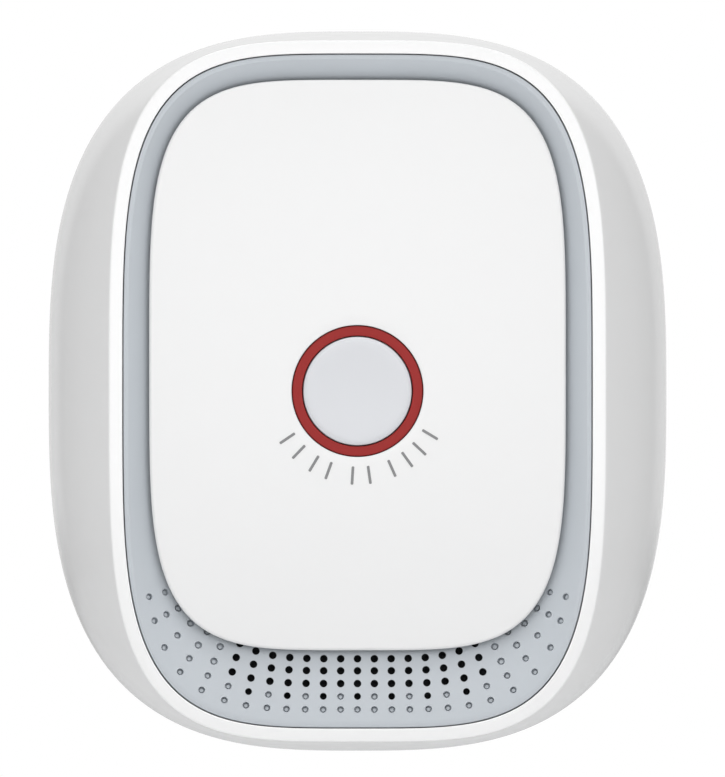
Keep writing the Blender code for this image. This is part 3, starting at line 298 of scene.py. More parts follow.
def dress(piece, finish, slot, body, *nodes, angle=32):
    """Gives a finished piece its material, its body and the nodes that it stands for."""
    take(piece)
    bpy.ops.object.shade_smooth_by_angle(angle=math.radians(angle))
    piece.data.materials.clear()
    piece.data.materials.append(finish)
    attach(piece, body)
    if nodes:
        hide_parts(*nodes)


# --- Finishes ------------------------------------------------------------------------------------


class Signal:
    """An output socket, so that shader sums can be written as plain arithmetic."""

    def __init__(self, nodes, output):
        self.nodes = nodes
        self.output = output

    def math(self, operation, first, second):
        return self.nodes.node("ShaderNodeMath", {"operation": operation}, {0: first, 1: second})

    def __add__(self, other):
        return self.math("ADD", self, other)

    __radd__ = __add__

    def __sub__(self, other):
        return self.math("SUBTRACT", self, other)

    def __rsub__(self, other):
        return self.math("SUBTRACT", other, self)

    def __mul__(self, other):
        return self.math("MULTIPLY", self, other)

    __rmul__ = __mul__

    def __gt__(self, other):
        return self.math("GREATER_THAN", self, other)

    def __lt__(self, other):
        return self.math("LESS_THAN", self, other)


class Nodes:
    """A node tree, of a material or of the room round the piece."""

    def __init__(self, tree):
        self.tree = tree

    def connect(self, socket, value):
        if isinstance(value, Signal):
            self.tree.links.new(value.output, socket)
        else:
            socket.default_value = value

    def node(self, kind, settings=None, sockets=None, output=0):
        """Any node, from its type, its settings and the values or links of its sockets."""
        made = self.tree.nodes.new(kind)
        for key, value in (settings or {}).items():
            setattr(made, key, value)
        for key, value in (sockets or {}).items():
            self.connect(made.inputs[key], value)
        return Signal(self, made.outputs[output])

    def of_one(self, operation, value):
        """A Math node that takes a single value."""
        return self.node("ShaderNodeMath", {"operation": operation}, {0: value})

    def larger(self, first, second):
        return self.node("ShaderNodeMath", {"operation": "MAXIMUM"}, {0: first, 1: second})


class Finish(Nodes):
    """A material on its way: the shader and the nodes that feed it."""

    def __init__(self, name, colour, roughness, **sockets):
        self.material = bpy.data.materials.new(name)
        self.material.use_nodes = True
        super().__init__(self.material.node_tree)
        self.shader = self.tree.nodes["Principled BSDF"]
        self.colour = (*colour, 1.0)
        self.roughness = roughness
        self.set("Base Color", self.colour)
        self.set("Roughness", roughness)
        for key, value in sockets.items():
            self.set(key.replace("_", " "), value)
        self.place = self.node("ShaderNodeTexCoord", output="Object")

    def set(self, key, value):
        self.connect(self.shader.inputs[key], value)

    def drawn(self, stretch):
        """The place that a pattern reads, drawn out along an axis where asked."""
        if not stretch:
            return self.place
        return self.node("ShaderNodeMapping", {}, {"Vector": self.place, "Scale": stretch})

    def noise(self, size, detail=3.0, stretch=None):
        """Noise whose grains are this many metres across."""
        grains = {"Vector": self.drawn(stretch), "Scale": 1 / size, "Detail": detail}
        return self.node("ShaderNodeTexNoise", {}, grains)

    def cells(self, size, output="Distance", stretch=None):
        """Cells this many metres across."""
        return self.node(
            "ShaderNodeTexVoronoi", {}, {"Vector": self.drawn(stretch), "Scale": 1 / size}, output
        )

    def across(self, axis):
        return self.node("ShaderNodeSeparateXYZ", {}, {0: self.place}, axis)

    def mix(self, mask, first, second):
        """The second colour where the mask is 1, the first where it is 0."""
        return self.node("ShaderNodeMix", {"data_type": "RGBA"}, {0: mask, 6: first, 7: second}, 2)

    def tint(self, mask, strength):
        """Lets the colour wander a little lighter and darker with a mask."""
        dark = tuple(part * (1 - strength) for part in self.colour[:3])
        light = tuple(min(1.0, part * (1 + strength)) for part in self.colour[:3])
        self.set("Base Color", self.mix(mask, (*dark, 1.0), (*light, 1.0)))

    def gloss(self, mask, spread):
        self.set("Roughness", mask * (2 * spread) + (self.roughness - spread))

    def relief(self, height, depth):
        """A bump of this many metres."""
        bump = {"Height": height, "Distance": depth, "Strength": 1.0}
        self.set("Normal", self.node("ShaderNodeBump", {}, bump))


def moulded(name, colour, roughness, grain, depth, wander=0.012, spread=0.04, **sockets):
    """Moulded plastic: a fine surface grain, faint flow clouds and uneven gloss."""
    finish = Finish(name, colour, roughness, **sockets)
    clouds = finish.noise(14 * MM, 2.0)
    skin = finish.noise(grain, 2.0)
    finish.tint(clouds * 0.7 + skin * 0.3, wander)
    finish.gloss(finish.noise(2.5 * MM, 4.0), spread)
    finish.relief(skin, depth)
    return finish.material


def metal(name, colour, roughness, brushing, depth=0.004 * MM):
    """Metal with fine marks drawn out along one axis and a few darker, duller patches."""
    finish = Finish(name, colour, roughness, Metallic=1.0)
    marks = finish.noise(0.12 * MM, 2.0, stretch=brushing)
    patches = finish.noise(2.2 * MM, 5.0)
    finish.tint(marks * 0.5 + patches * 0.5, 0.14)
    finish.gloss(patches * 0.6 + marks * 0.4, 0.12)
    finish.relief(marks, depth)
    return finish.material


def circuit_board():
    """Solder mask over copper: tracks in two directions, ringed pads and a faint glass weave."""
    finish = Finish("circuit_board", (0.012, 0.13, 0.055), 0.35, Coat_Weight=0.25)
    track_pitch, field = 1.27 * MM, 2.4 * MM
    cell = finish.cells(field, "Color", stretch=(1.0, 0.0, 1.0))
    which = finish.node("ShaderNodeSeparateXYZ", {}, {0: cell}, "X") > 0.5
    upright, level = [
        finish.of_one("FRACT", finish.across(axis) * (1 / track_pitch)) < 0.32 for axis in ("X", "Z")
    ]
    track = upright * which + level * (1 - which)
    pad = finish.cells(field, stretch=(1.0, 0.0, 1.0)) < 0.16
    weave = finish.noise(0.35 * MM, 2.0)
    mask = finish.mix(weave, (0.010, 0.105, 0.045, 1), (0.014, 0.135, 0.058, 1))
    copper = finish.mix(track * 0.8, mask, (0.03, 0.23, 0.09, 1))
    finish.set("Base Color", finish.mix(pad, copper, (0.62, 0.6, 0.55, 1)))
    finish.set("Metallic", pad * 0.9)
    finish.set("Roughness", 0.36 - pad * 0.1 + weave * 0.06)
    finish.relief(track * 0.6 + pad * 0.8 + weave * 0.1, 0.03 * MM)
    return finish.material


def dust_screen():
    """Woven black mesh: thin threads that cross over and under."""
    finish = Finish("dust_screen", (0.012, 0.013, 0.014), 0.6)
    thread_pitch = 0.16 * MM
    warp, weft = [
        finish.of_one("SINE", finish.across(axis) * (2 * math.pi / thread_pitch)) * 0.5 + 0.5
        for axis in ("X", "Z")
    ]
    weave = finish.larger(warp, weft)
    finish.set("Base Color", finish.mix(weave, (0.004, 0.004, 0.005, 1), (0.02, 0.021, 0.023, 1)))
    finish.set("Roughness", 0.8 - weave * 0.25)
    finish.relief(weave, 0.03 * MM)
    return finish.material


def winding_tape():
    """Layers of yellow tape round a coil, each edge a faint line."""
    finish = Finish("winding_tape", (0.74, 0.52, 0.07), 0.35, Coat_Weight=0.3)
    tape_width = 1.1 * MM
    edge = finish.of_one("FRACT", finish.across("Y") * (1 / tape_width)) < 0.08
    crease = finish.noise(0.9 * MM, 3.0, stretch=(1.0, 3.0, 0.4))
    finish.tint(crease, 0.1)
    finish.gloss(crease, 0.1)
    finish.relief(crease * 0.4 + (1 - edge) * 0.6, 0.04 * MM)
    return finish.material


def sleeve(name, colour, stripe):
    """A shrunk film round a can, with one pale stripe down its length."""
    finish = Finish(name, colour, 0.3, Coat_Weight=0.4)
    film = finish.noise(1.2 * MM, 3.0)
    band = finish.across("Z") + finish.noise(6 * MM, 0.0) * (0.02 * MM) > stripe
    dark = (*[part * 0.8 for part in colour], 1.0)
    body = finish.mix(film, dark, (*colour, 1.0))
    finish.set("Base Color", finish.mix(band * 0.6, body, (0.55, 0.56, 0.58, 1)))
    finish.gloss(film, 0.06)
    finish.relief(film, 0.01 * MM)
    return finish.material


def foam():
    finish = Finish("black_foam", (0.02, 0.02, 0.021), 0.92)
    pores = finish.cells(0.35 * MM)
    finish.tint(pores, 0.6)
    finish.gloss(pores, 0.05)
    finish.relief(pores, 0.12 * MM)
    return finish.material


def ferrite():
    finish = Finish("ferrite", (0.045, 0.045, 0.05), 0.55, Metallic=0.2)
    grit = finish.noise(0.25 * MM, 5.0)
    finish.tint(grit, 0.35)
    finish.gloss(grit, 0.12)
    finish.relief(grit, 0.02 * MM)
    return finish.material


def label_film():
    """Blank printed film: a satin ground and one thin grey frame line set in from its edge."""
    finish = Finish("label_film", (0.76, 0.77, 0.78), 0.5)
    fibre = finish.noise(0.5 * MM, 3.0, stretch=(0.4, 1.0, 1.0))
    past_frame = [
        finish.of_one("ABSOLUTE", finish.across(axis) - middle) - (size / 2 - LABEL_FRAME)
        for axis, middle, size in zip("XZ", (0.0, LABEL_HEIGHT), LABEL_SIZE)
    ]
    line = finish.of_one("ABSOLUTE", finish.larger(*past_frame)) < 0.12 * MM
    ground = finish.mix(fibre, (0.72, 0.73, 0.74, 1), (0.78, 0.79, 0.8, 1))
    finish.set("Base Color", finish.mix(line, ground, (0.3, 0.31, 0.33, 1)))
    finish.gloss(fibre, 0.06)
    finish.relief(fibre, 0.006 * MM)
    return finish.material


CASING_GLOSS = moulded("casing_gloss", (0.92, 0.92, 0.92), 0.14, 0.5 * MM, 0.0008 * MM, 0.006, 0.03)
PANEL_SATIN = moulded("panel_satin", (0.85, 0.85, 0.85), 0.38, 0.16 * MM, 0.002 * MM, 0.008, 0.03)
BEZEL_SATIN = moulded("bezel_satin", (0.53, 0.565, 0.60), 0.45, 0.14 * MM, 0.003 * MM, 0.015, 0.04)
BUTTON_SATIN = moulded("button_satin", (0.68, 0.69, 0.717), 0.34, 0.16 * MM, 0.002 * MM, 0.01, 0.03)
RING_RED = moulded(
    "ring_red", (0.335, 0.034, 0.032), 0.6, 0.3 * MM, 0.002 * MM, 0.04, 0.04, Specular_IOR_Level=0.12
)
MARK_GREY = moulded("mark_grey", (0.24, 0.24, 0.245), 0.5, 0.1 * MM, 0.002 * MM, 0.06, 0.05)
DARK_PLASTIC = moulded("dark_plastic", (0.028, 0.028, 0.031), 0.48, 0.2 * MM, 0.008 * MM, 0.2, 0.06)
CHIP_BLACK = moulded("chip_black", (0.02, 0.02, 0.022), 0.55, 0.1 * MM, 0.01 * MM, 0.25, 0.06)
CAPACITOR_YELLOW = moulded("capacitor_yellow", (0.78, 0.58, 0.1), 0.36, 0.4 * MM, 0.006 * MM, 0.05)
VARISTOR_BLUE = moulded("varistor_blue", (0.04, 0.14, 0.46), 0.3, 0.7 * MM, 0.02 * MM, 0.1)
FUSE_CERAMIC = moulded("fuse_ceramic", (0.74, 0.71, 0.65), 0.38, 0.25 * MM, 0.008 * MM, 0.05)
LED_CLEAR = moulded("led_clear", (0.84, 0.79, 0.66), 0.15, 0.5 * MM, 0.003 * MM, 0.05, IOR=1.5)
STEEL = metal("zinc_steel", (0.60, 0.60, 0.59), 0.34, (1.0, 1.0, 0.15))
SPRING_STEEL = metal("spring_steel", (0.55, 0.55, 0.56), 0.25, (0.3, 1.0, 0.3))
BLADE_BRASS = metal("blade_brass", (0.70, 0.55, 0.27), 0.28, (1.0, 0.06, 1.0))
DISC_BRASS = metal("disc_brass", (0.72, 0.56, 0.25), 0.3, (1.0, 1.0, 0.1))
NICKEL = metal("nickel", (0.68, 0.66, 0.61), 0.22, (0.1, 1.0, 1.0))
BOARD_GREEN = circuit_board()
DUST_SCREEN = dust_screen()
WINDING_TAPE = winding_tape()
CAN_SLEEVE = sleeve("can_sleeve", (0.03, 0.035, 0.05), -8.2 * MM)
FOAM = foam()
FERRITE = ferrite()
LABEL_FILM = label_film()


# --- Casing --------------------------------------------------------------------------------------


def body_outline(depth, inset=0.0):
    """The casing's outer side at a depth, moved in by inset."""
    widest = (BODY_WIDTH / 2, BODY_HEIGHT / 2)
    if depth >= WIDEST_DEPTH:
        share = math.sin(math.pi / 2 * (BODY_DEPTH - depth) / (BODY_DEPTH - WIDEST_DEPTH))
        half = [rim + (wide - rim) * share for rim, wide in zip(RIM_HALF, widest)]
        return outline(half, RIM_POWER + (BODY_POWER - RIM_POWER) * share, inset=inset)
    behind = (WIDEST_DEPTH - depth) / WIDEST_DEPTH
    inset += BACK_INSET * (1 - math.sqrt(max(0.0, 1 - behind**2)))
    return outline(widest, BODY_POWER, inset=inset)


def opening(inset=0.0):
    return outline(OPENING_HALF, OPENING_POWER, inset=inset)


def inner_outline(depth):
    """The inside of the wall, never closer in than the opening's own edge."""
    wall = zip(body_outline(depth, WALL), opening(-0.05 * MM))
    return [max(pair, key=lambda point: math.hypot(*point)) for pair in wall]


def front_casing():
    lip, shoulder, foot = edge_round(LIP_ROUND), edge_round(SHOULDER_ROUND), edge_round(FOOT_ROUND, 3)
    face_in, face_out = opening(-LIP_ROUND), body_outline(BODY_DEPTH, SHOULDER_ROUND)
    start = PARTING_DEPTH + GAP
    rings = [at(opening(-inset), BODY_DEPTH - drop) for inset, drop in reversed(lip)]
    rings += [at(between(face_in, face_out, share), BODY_DEPTH) for share in (0.35, 0.7)]
    rings += [at(body_outline(BODY_DEPTH - drop, inset), BODY_DEPTH - drop) for inset, drop in shoulder]
    swell = steps_between(BODY_DEPTH - 0.6 * MM, WIDEST_DEPTH, 30)
    tuck = steps_between(WIDEST_DEPTH - 0.8 * MM, PARTING_DEPTH + 0.6 * MM, 4)
    rings += [at(body_outline(depth), depth) for depth in swell + tuck]
    rings += [at(body_outline(start + drop, inset), start + drop) for inset, drop in reversed(foot)]
    inside = [start, 8 * MM, 12 * MM, 16 * MM, 20 * MM, 24 * MM, 27 * MM, RIM_BACK]
    rings += [at(inner_outline(depth), depth) for depth in inside]
    rings.append(at(opening(), RIM_BACK))
    dress(drawn_out("front_casing", rings, True), CASING_GLOSS, "white_casing", "casing", "front_housing")


def screw_places():
    """The casing screws' places, inside the corners of the flat back face."""
    x, z = body_outline(0.0)[STEPS // 8]
    away = SCREW_INSET / math.sqrt(2)
    return [(sx * (x - away), sz * (z - away)) for sz in (1, -1) for sx in (1, -1)]


def back_casing():
    sweep = [WIDEST_DEPTH * (1 - math.cos(math.pi / 2 * step / 12)) for step in range(12)]
    rings = [at(body_outline(depth), depth) for depth in sweep if depth < PARTING_DEPTH - 0.3 * MM]
    for inset, drop in reversed(edge_round(FOOT_ROUND, 3)):
        rings.append(at(body_outline(PARTING_DEPTH - drop, inset), PARTING_DEPTH - drop))
    lap = WALL + GAP
    lap_back = lap + LAP_THICKNESS
    for inset, depth in ((lap, PARTING_DEPTH), (lap, LAP_TOP), (lap_back, LAP_TOP), (lap_back, LAP_FOOT)):
        rings.append(at(body_outline(depth, inset), depth))
    rings.append(at(body_outline(0.0, WALL), BACK_THICKNESS))
    shell = drawn_out("back_casing", rings)
    collar, recess, shank = 3.7 * MM, 2.8 * MM, 1.5 * MM
    recess_depth = 3.2 * MM
    cut(shell, [rod(place, collar, MM, PARTING_DEPTH, steps=48) for place in screw_places()], "UNION")
    cut(shell, [rod(place, recess, -MM, recess_depth, steps=48) for place in screw_places()])
    cut(shell, [rod(place, shank, MM, 8 * MM) for place in screw_places()])
    for side in (-1, 1):
        slot = (BLADE_THICKNESS + 2 * GAP, 8 * MM, BLADE_WIDTH + 2 * GAP)
        cut(shell, [block((side * BLADE_SPREAD, 0.0, BLADE_HEIGHT), slot)])
    pocket = (LABEL_SIZE[0] + 2 * GAP, MM, LABEL_SIZE[1] + 2 * GAP)
    cut(shell, [block((0.0, 0.0, LABEL_HEIGHT), pocket)])
    soften(shell, 0.12 * MM, 2, 50)
    dress(shell, CASING_GLOSS, "white_casing", "casing", "rear_cover")


# --- Sound dish and grille -----------------------------------------------------------------------


def panel_outline(inset=0.0):
    return outline(PANEL_HALF, PANEL_POWER, PANEL_CENTRE, inset)


def dish_ring(share, drop=0.0):
    """A ring of the dish: share 0 is the edge of its flat land, 1 the panel's edge."""
    return at(
        between(opening(SEAM_GAP + LAND_WIDTH), panel_outline(), share),
        LAND_DEPTH - DISH_DROP * share**DISH_CURVE - drop,
    )


def meet_row(root, out, inset):
    """Where a column that leaves root along out meets the row at this inset."""
    near, far = -3 * MM, 14 * MM
    for _ in range(30):
        middle = (near + far) / 2
        point = root + out * middle
        reach = sum(abs(p / (half - inset)) ** ROW_POWER for p, half in zip(point, OPENING_HALF))
        near, far = (middle, far) if reach < 1 else (near, middle)
    return root + out * near


def grille_places():
    """Every place of the grille as (column, row, x, z), columns fanning out from a guide curve."""
    guide = outline(GUIDE_HALF, GUIDE_POWER, PANEL_CENTRE - PANEL_HALF[1] + GUIDE_HALF[1], steps=720)
    right_side = [Vector(point) for point in guide[540:] + guide[:60]]
    found = []
    column = travelled = 0
    for first, second in zip(right_side, right_side[1:]):
        step = second - first
        while column <= LAST_COLUMN and column * COLUMN_PITCH <= travelled + step.length:
            root = first + step.normalized() * (column * COLUMN_PITCH - travelled)
            out = Vector((step.y, -step.x)).normalized()
            rows = [meet_row(root, out, inset) for inset in ROW_INSETS]
            if column in SIDE_COLUMNS:
                count, pitch = SIDE_COLUMNS[column]
                rows[-count:] = [rows[-1] - out * pitch * away for away in reversed(range(count))]
            for row, (x, z) in enumerate(rows, 1):
                found += [(side * column, row, side * x, z) for side in ((1, -1) if column else (1,))]
            column += 1
        travelled += step.length
    return found


def is_drilled(column, row):
    """Holes right through: the inner rows, and every second hole of the row after them."""
    half_row = row == DRILLED_ROWS + 1 and column % 2 == 0
    return abs(column) <= DRILLED_COLUMNS and (row <= DRILLED_ROWS or half_row)


def is_dimple(column, row):
    """The blind dimples carry the pattern on to the sides, where fewer rows fit."""
    first_row = {8: 1, 9: 2, 10: 3, 11: 3, 12: 4}.get(abs(column), 4)
    return not is_drilled(column, row) and row >= first_row


def ringed_pit(radius):
    """The cutter of a blind dimple: a narrow groove round a low plug."""
    plug, plug_top, floor_depth, above = 0.5 * radius, -0.32 * MM, -0.65 * MM, 0.5 * MM
    profile = [(plug, plug_top), (plug, floor_depth), (radius, floor_depth), (radius, above)]
    return turned("ringed_pit", profile, steps=20)


def sound_dish():
    skirt_depth, skirt_inside = LAND_DEPTH - 3.6 * MM, SEAM_GAP + 1.25 * MM
    rings = [at(opening(SEAM_GAP + inset), LAND_DEPTH - drop) for inset, drop in edge_round(LIP_ROUND, 3)]
    rings += [at(opening(SEAM_GAP), skirt_depth), at(opening(skirt_inside), skirt_depth)]
    rings.append(at(opening(skirt_inside), LAND_DEPTH - BEZEL_THICKNESS - GAP))
    rings += [dish_ring(share, BEZEL_THICKNESS) for share in (0.6, 0.7, 0.8, 0.9, 1.0)]
    rings += [at(panel_outline(FLOOR_MARGIN), BEZEL_BACK), at(circle(CENTRE_HOLE), BEZEL_BACK)]
    rings += [at(circle(CENTRE_HOLE), FLOOR_DEPTH), at(panel_outline(FLOOR_MARGIN), FLOOR_DEPTH)]
    rings += [dish_ring(1 - share) for share in steps_between(0.0, 1.0, 28)]
    dish = drawn_out("sound_dish", rings, True)
    radii = (HOLE_RADIUS, LAST_HOLE_RADIUS)
    drills = [rod((0.0, 0.0), radius, 25 * MM, 32 * MM, steps=20) for radius in radii]
    pits = [ringed_pit(radius) for radius in radii]
    cutters = []
    for column, row, x, z in grille_places():
        kind = row > DRILLED_ROWS
        if is_drilled(column, row):
            cutters.append(copy_of(drills[kind], (x, 0.0, z)))
        elif is_dimple(column, row):
            _, spot, normal, _ = dish.ray_cast(Vector((x, -50 * MM, z)), Vector((0.0, 1.0, 0.0)))
            cutter = copy_of(pits[kind])
            cutter.rotation_euler = normal.to_track_quat("-Y", "Z").to_euler()
            cutter.location = spot
            bpy.ops.object.transform_apply(location=True, rotation=True, scale=True)
            cutters.append(cutter)
    for spare in drills + pits:
        bpy.data.objects.remove(spare, do_unlink=True)
    cut(dish, cutters)
    dress(dish, BEZEL_SATIN, "bezel_grey", "casing", "sound_bezel", angle=25)


# --- Panel, ring, button and marks ---------------------------------------------------------------


def panel_depth(share):
    """The crowned face's depth: share 0 is at the button, 1 at the panel's edge."""
    return PANEL_FACE + PANEL_CROWN * (1 - share**2)


def face_panel():
    hole, edge, plinth = circle(CENTRE_HOLE), panel_outline(PANEL_ROUND), panel_outline(4 * MM)
    lip = edge_round(LIP_ROUND, 3)
    shares = steps_between(0.05, 1.0, 22)[:-1]
    rings = [at(circle(CENTRE_HOLE + inset), panel_depth(0) - drop) for inset, drop in reversed(lip)]
    rings += [at(between(hole, edge, share), panel_depth(share)) for share in shares]
    rings += [at(panel_outline(inset), PANEL_FACE - drop) for inset, drop in edge_round(PANEL_ROUND, 7)]
    rings += [at(panel_outline(), PANEL_BACK), at(plinth, PANEL_BACK)]
    rings += [at(plinth, FLOOR_DEPTH + GAP), at(hole, FLOOR_DEPTH + GAP)]
    dress(drawn_out("face_panel", rings, True), PANEL_SATIN, "panel_white", "casing", "front_panel")


def light_ring():
    """A light pipe: the ring that shows, a flange behind the dish and a tube down to the board."""
    lip = edge_round(SHOULDER_ROUND, 4)
    flange_radius, flange_top, flange_back = 9 * MM, 26.5 * MM, 25.4 * MM
    step, tube_end = 25.95 * MM, 21.2 * MM
    profile = [(RING_BORE + inset, RING_TOP - drop) for inset, drop in reversed(lip)]
    profile += [(RING_RADIUS - inset, RING_TOP - drop) for inset, drop in lip]
    profile += [(RING_RADIUS, flange_top), (flange_radius, flange_top)]
    profile += [(flange_radius, flange_back), (TUBE_RADIUS, flange_back)]
    profile += [(TUBE_RADIUS, tube_end), (TUBE_BORE, tube_end), (TUBE_BORE, step), (RING_BORE, step)]
    dress(turned("light_ring", profile, True, 160), RING_RED, "ring_red", "casing", "status_light_ring")


def button_cap():
    """A dished cap with a rolled edge, a stop flange, and a post that presses the switch."""
    brow = 0.9 * BUTTON_RADIUS
    dish = [share * brow for share in (0.05, 0.2, 0.4, 0.6, 0.75, 0.88, 1.0)]
    roll = ((0.94, 0.02 * MM), (0.975, 0.09 * MM), (0.993, 0.18 * MM), (1.0, 0.32 * MM))
    stop_radius, stop_back = 6.7 * MM, STOP_TOP - 0.7 * MM
    skirt_bore, underside = 5.5 * MM, 29.8 * MM
    post_radius, post_end = 1.5 * MM, 24.05 * MM
    profile = [(r, BUTTON_FACE - BUTTON_DISH * (1 - (r / brow) ** 2) ** 1.2) for r in dish]
    profile += [(share * BUTTON_RADIUS, BUTTON_FACE - drop) for share, drop in roll]
    profile += [(BUTTON_RADIUS, STOP_TOP), (stop_radius, STOP_TOP), (stop_radius, stop_back)]
    profile += [(skirt_bore, stop_back), (skirt_bore, underside), (post_radius, underside)]
    profile.append((post_radius, post_end))
    dress(turned("button_cap", profile, steps=160), BUTTON_SATIN, "button_grey", "button", "test_button")


def press_marks():
    """Printed strokes in an arc under the button, in groups of four, two and four."""
    stroke = block((0.0, -panel_depth(0.1) - 0.005 * MM, -MARK_RADIUS), MARK_SIZE)
    bpy.ops.object.mode_set(mode="EDIT")
    pick(stroke, "edges", runs_in_depth)
    bpy.ops.mesh.bevel(offset=0.1 * MM, segments=3, affect="EDGES")
    bpy.ops.object.mode_set(mode="OBJECT")
    marks = []
    for turn in MARK_TURNS:
        mark = copy_of(stroke)
        mark.rotation_euler = (0.0, math.radians(-turn), 0.0)
        bpy.ops.object.transform_apply(location=True, rotation=True, scale=True)
        marks.append(mark)
    bpy.data.objects.remove(stroke, do_unlink=True)
    dress(joined(marks, "press_marks"), MARK_GREY, "dark_plastic", "casing")


# --- Back: plug blades, screws and label ---------------------------------------------------------


def at_blade_tip(edge):
    """True for the tip's two edges that run across the blade's thickness."""
    first, second = (vert.co for vert in edge.verts)
    return min(first.y, second.y) > BLADE_REACH - 0.5 * MM and first.z == second.z


def plug_blade(name, x):
    """A flat blade with a bevelled tip and a round hole, and a wider root inside the cover."""
    centre = (x, (BLADE_REACH + BLADE_ROOT) / 2, BLADE_HEIGHT)
    blade = block(centre, (BLADE_THICKNESS, BLADE_REACH - BLADE_ROOT, BLADE_WIDTH))
    blade.name = blade.data.name = name
    bpy.ops.object.mode_set(mode="EDIT")
    pick(blade, "edges", at_blade_tip)
    bpy.ops.mesh.bevel(offset=1.6 * MM, segments=1, affect="EDGES")
    pick(blade, "faces", lambda face: face.normal.y < -0.9)
    root, root_width, tail_width = (x, BLADE_ROOT, BLADE_HEIGHT), 9.0 * MM, 3.0 * MM
    for scale, length in ((root_width / BLADE_WIDTH, 2.0 * MM), (tail_width / root_width, 3.9 * MM)):
        bpy.ops.mesh.extrude_region_move()
        bpy.ops.transform.resize(value=(1.0, 1.0, scale), center_override=root)
        bpy.ops.mesh.extrude_region_move(TRANSFORM_OT_translate={"value": (0.0, -length, 0.0)})
    bpy.ops.object.mode_set(mode="OBJECT")
    hole_place, hole_radius = (11.7 * MM, BLADE_HEIGHT), 1.6 * MM
    cut(blade, [rod(hole_place, hole_radius, x - 2 * MM, x + 2 * MM, "X", 48)])
    soften(blade, 0.16 * MM, 3)
    dress(blade, BLADE_BRASS, "blade_brass", "casing", f"plug_{name}")


def casing_screws():
    """Pan head screws with a cross recess, and ridges round the shank for a thread."""
    top, seat, head_radius, dome = 1.5 * MM, 2.9 * MM, 2.5 * MM, 0.75 * MM
    crest, root, turns, pitch = 1.2 * MM, 0.9 * MM, 12, 0.55 * MM
    profile = []
    for turn in steps_between(0.12, 1.57, 8):
        profile.append((head_radius * math.sin(turn), top + dome * (1 - math.cos(turn))))
    profile += [(head_radius, seat), (crest, seat)]
    for step in range(turns):
        down = seat + step * pitch
        profile += [(crest, down + 0.9 * MM), (root, down + 1.15 * MM)]
    profile.append((0.45 * MM, seat + 9 * MM))
    screw = turned("casing_screw", profile, steps=48)
    for turn in (0.35, 0.35 + math.pi / 2):
        cut(screw, [block((0.0, -top - 0.25 * MM, 0.0), (2.9 * MM, 1.3 * MM, 0.62 * MM), turn)])
    soften(screw, 0.06 * MM, 2, 50)
    for number, (x, z) in enumerate(screw_places(), 1):
        made = copy_of(screw, (x, 0.0, z))
        made.name = made.data.name = f"casing_screw_{number}"
        dress(made, STEEL, "zinc_steel", "casing", f"housing_screw_{number}", angle=40)
    bpy.data.objects.remove(screw, do_unlink=True)


def back_label():
    """A thin film with rounded corners, in the cover's pocket."""
    label = block((0.0, -0.125 * MM, LABEL_HEIGHT), (LABEL_SIZE[0], 0.15 * MM, LABEL_SIZE[1]))
    label.name = label.data.name = "back_label"
    bpy.ops.object.mode_set(mode="EDIT")
    pick(label, "edges", runs_in_depth)
    bpy.ops.mesh.bevel(offset=1.6 * MM, segments=8, affect="EDGES")
    bpy.ops.object.mode_set(mode="OBJECT")
    soften(label, 0.03 * MM, 2)
    dress(label, LABEL_FILM, "label_paper", "casing", "rating_label")


def return_spring():
    """The coil between the main board and the button."""
    low, high = (Vector(corner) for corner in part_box("button_spring"))
    front, back, length = low.y, high.y, high.y - low.y
    wire, turns = 0.25 * MM, 5
    radius, rise = high.z - wire, length - 2 * wire
    bpy.ops.object.select_all(action="DESELECT")
    bpy.ops.mesh.primitive_circle_add(vertices=12, radius=wire, location=(radius, front + wire, 0.0))
    spring = bpy.context.object
    spring.name = spring.data.name = "return_spring"
    bpy.ops.object.transform_apply(location=True, rotation=True, scale=True)
    apply_modifier(spring, "SCREW", axis="Y", angle=math.tau * turns, screw_offset=rise, steps=40 * turns)
    bpy.ops.object.mode_set(mode="EDIT")
    bpy.ops.mesh.select_mode(type="VERT")
    bpy.ops.mesh.select_all(action="DESELECT")
    bpy.ops.mesh.select_non_manifold()
    bpy.ops.mesh.fill_holes(sides=0)
    bpy.ops.mesh.select_all(action="SELECT")
    bpy.ops.mesh.normals_make_consistent(inside=False)
    bpy.ops.object.mode_set(mode="OBJECT")
    dress(spring, SPRING_STEEL, "zinc_steel", "casing", "button_spring")
    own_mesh(spring)


# --- Inner pieces that keep their shape ----------------------------------------------------------

INNER_FINISHES = {
    "blade_holder": DARK_PLASTIC,
    "board_header": DARK_PLASTIC,
    "bridge_rectifier": CHIP_BLACK,
    "bulk_capacitor_1": CAN_SLEEVE,
    "bulk_capacitor_2": CAN_SLEEVE,
    "dust_mesh": DUST_SCREEN,
    "fuse": FUSE_CERAMIC,
    "main_board": BOARD_GREEN,
    "microcontroller": CHIP_BLACK,
    "power_board": BOARD_GREEN,
    "sensor_cell": NICKEL,
    "sensor_filter_cap": DARK_PLASTIC,
    "sounder_case": DARK_PLASTIC,
    "sounder_disc": DISC_BRASS,
    "sounder_gasket": FOAM,
    "tact_switch_body": DARK_PLASTIC,
    "tact_switch_stem": CHIP_BLACK,
    "transformer_bobbin": WINDING_TAPE,
    "transformer_core": FERRITE,
    "varistor": VARISTOR_BLUE,
    "x_capacitor": CAPACITOR_YELLOW,
}
INNER_FINISHES.update({f"status_led_{number}": LED_CLEAR for number in range(1, 5)})
INNER_FINISHES.update({f"board_screw_{number}": STEEL for number in range(1, 5)})
INNER_FINISHES.update({f"power_board_screw_{number}": STEEL for number in (1, 2)})


def inner_pieces():
    for name, finish in INNER_FINISHES.items():
        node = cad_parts[name]
        node.data.materials.clear()
        node.data.materials.append(finish)


# --- Camera, light and floor ---------------------------------------------------------------------

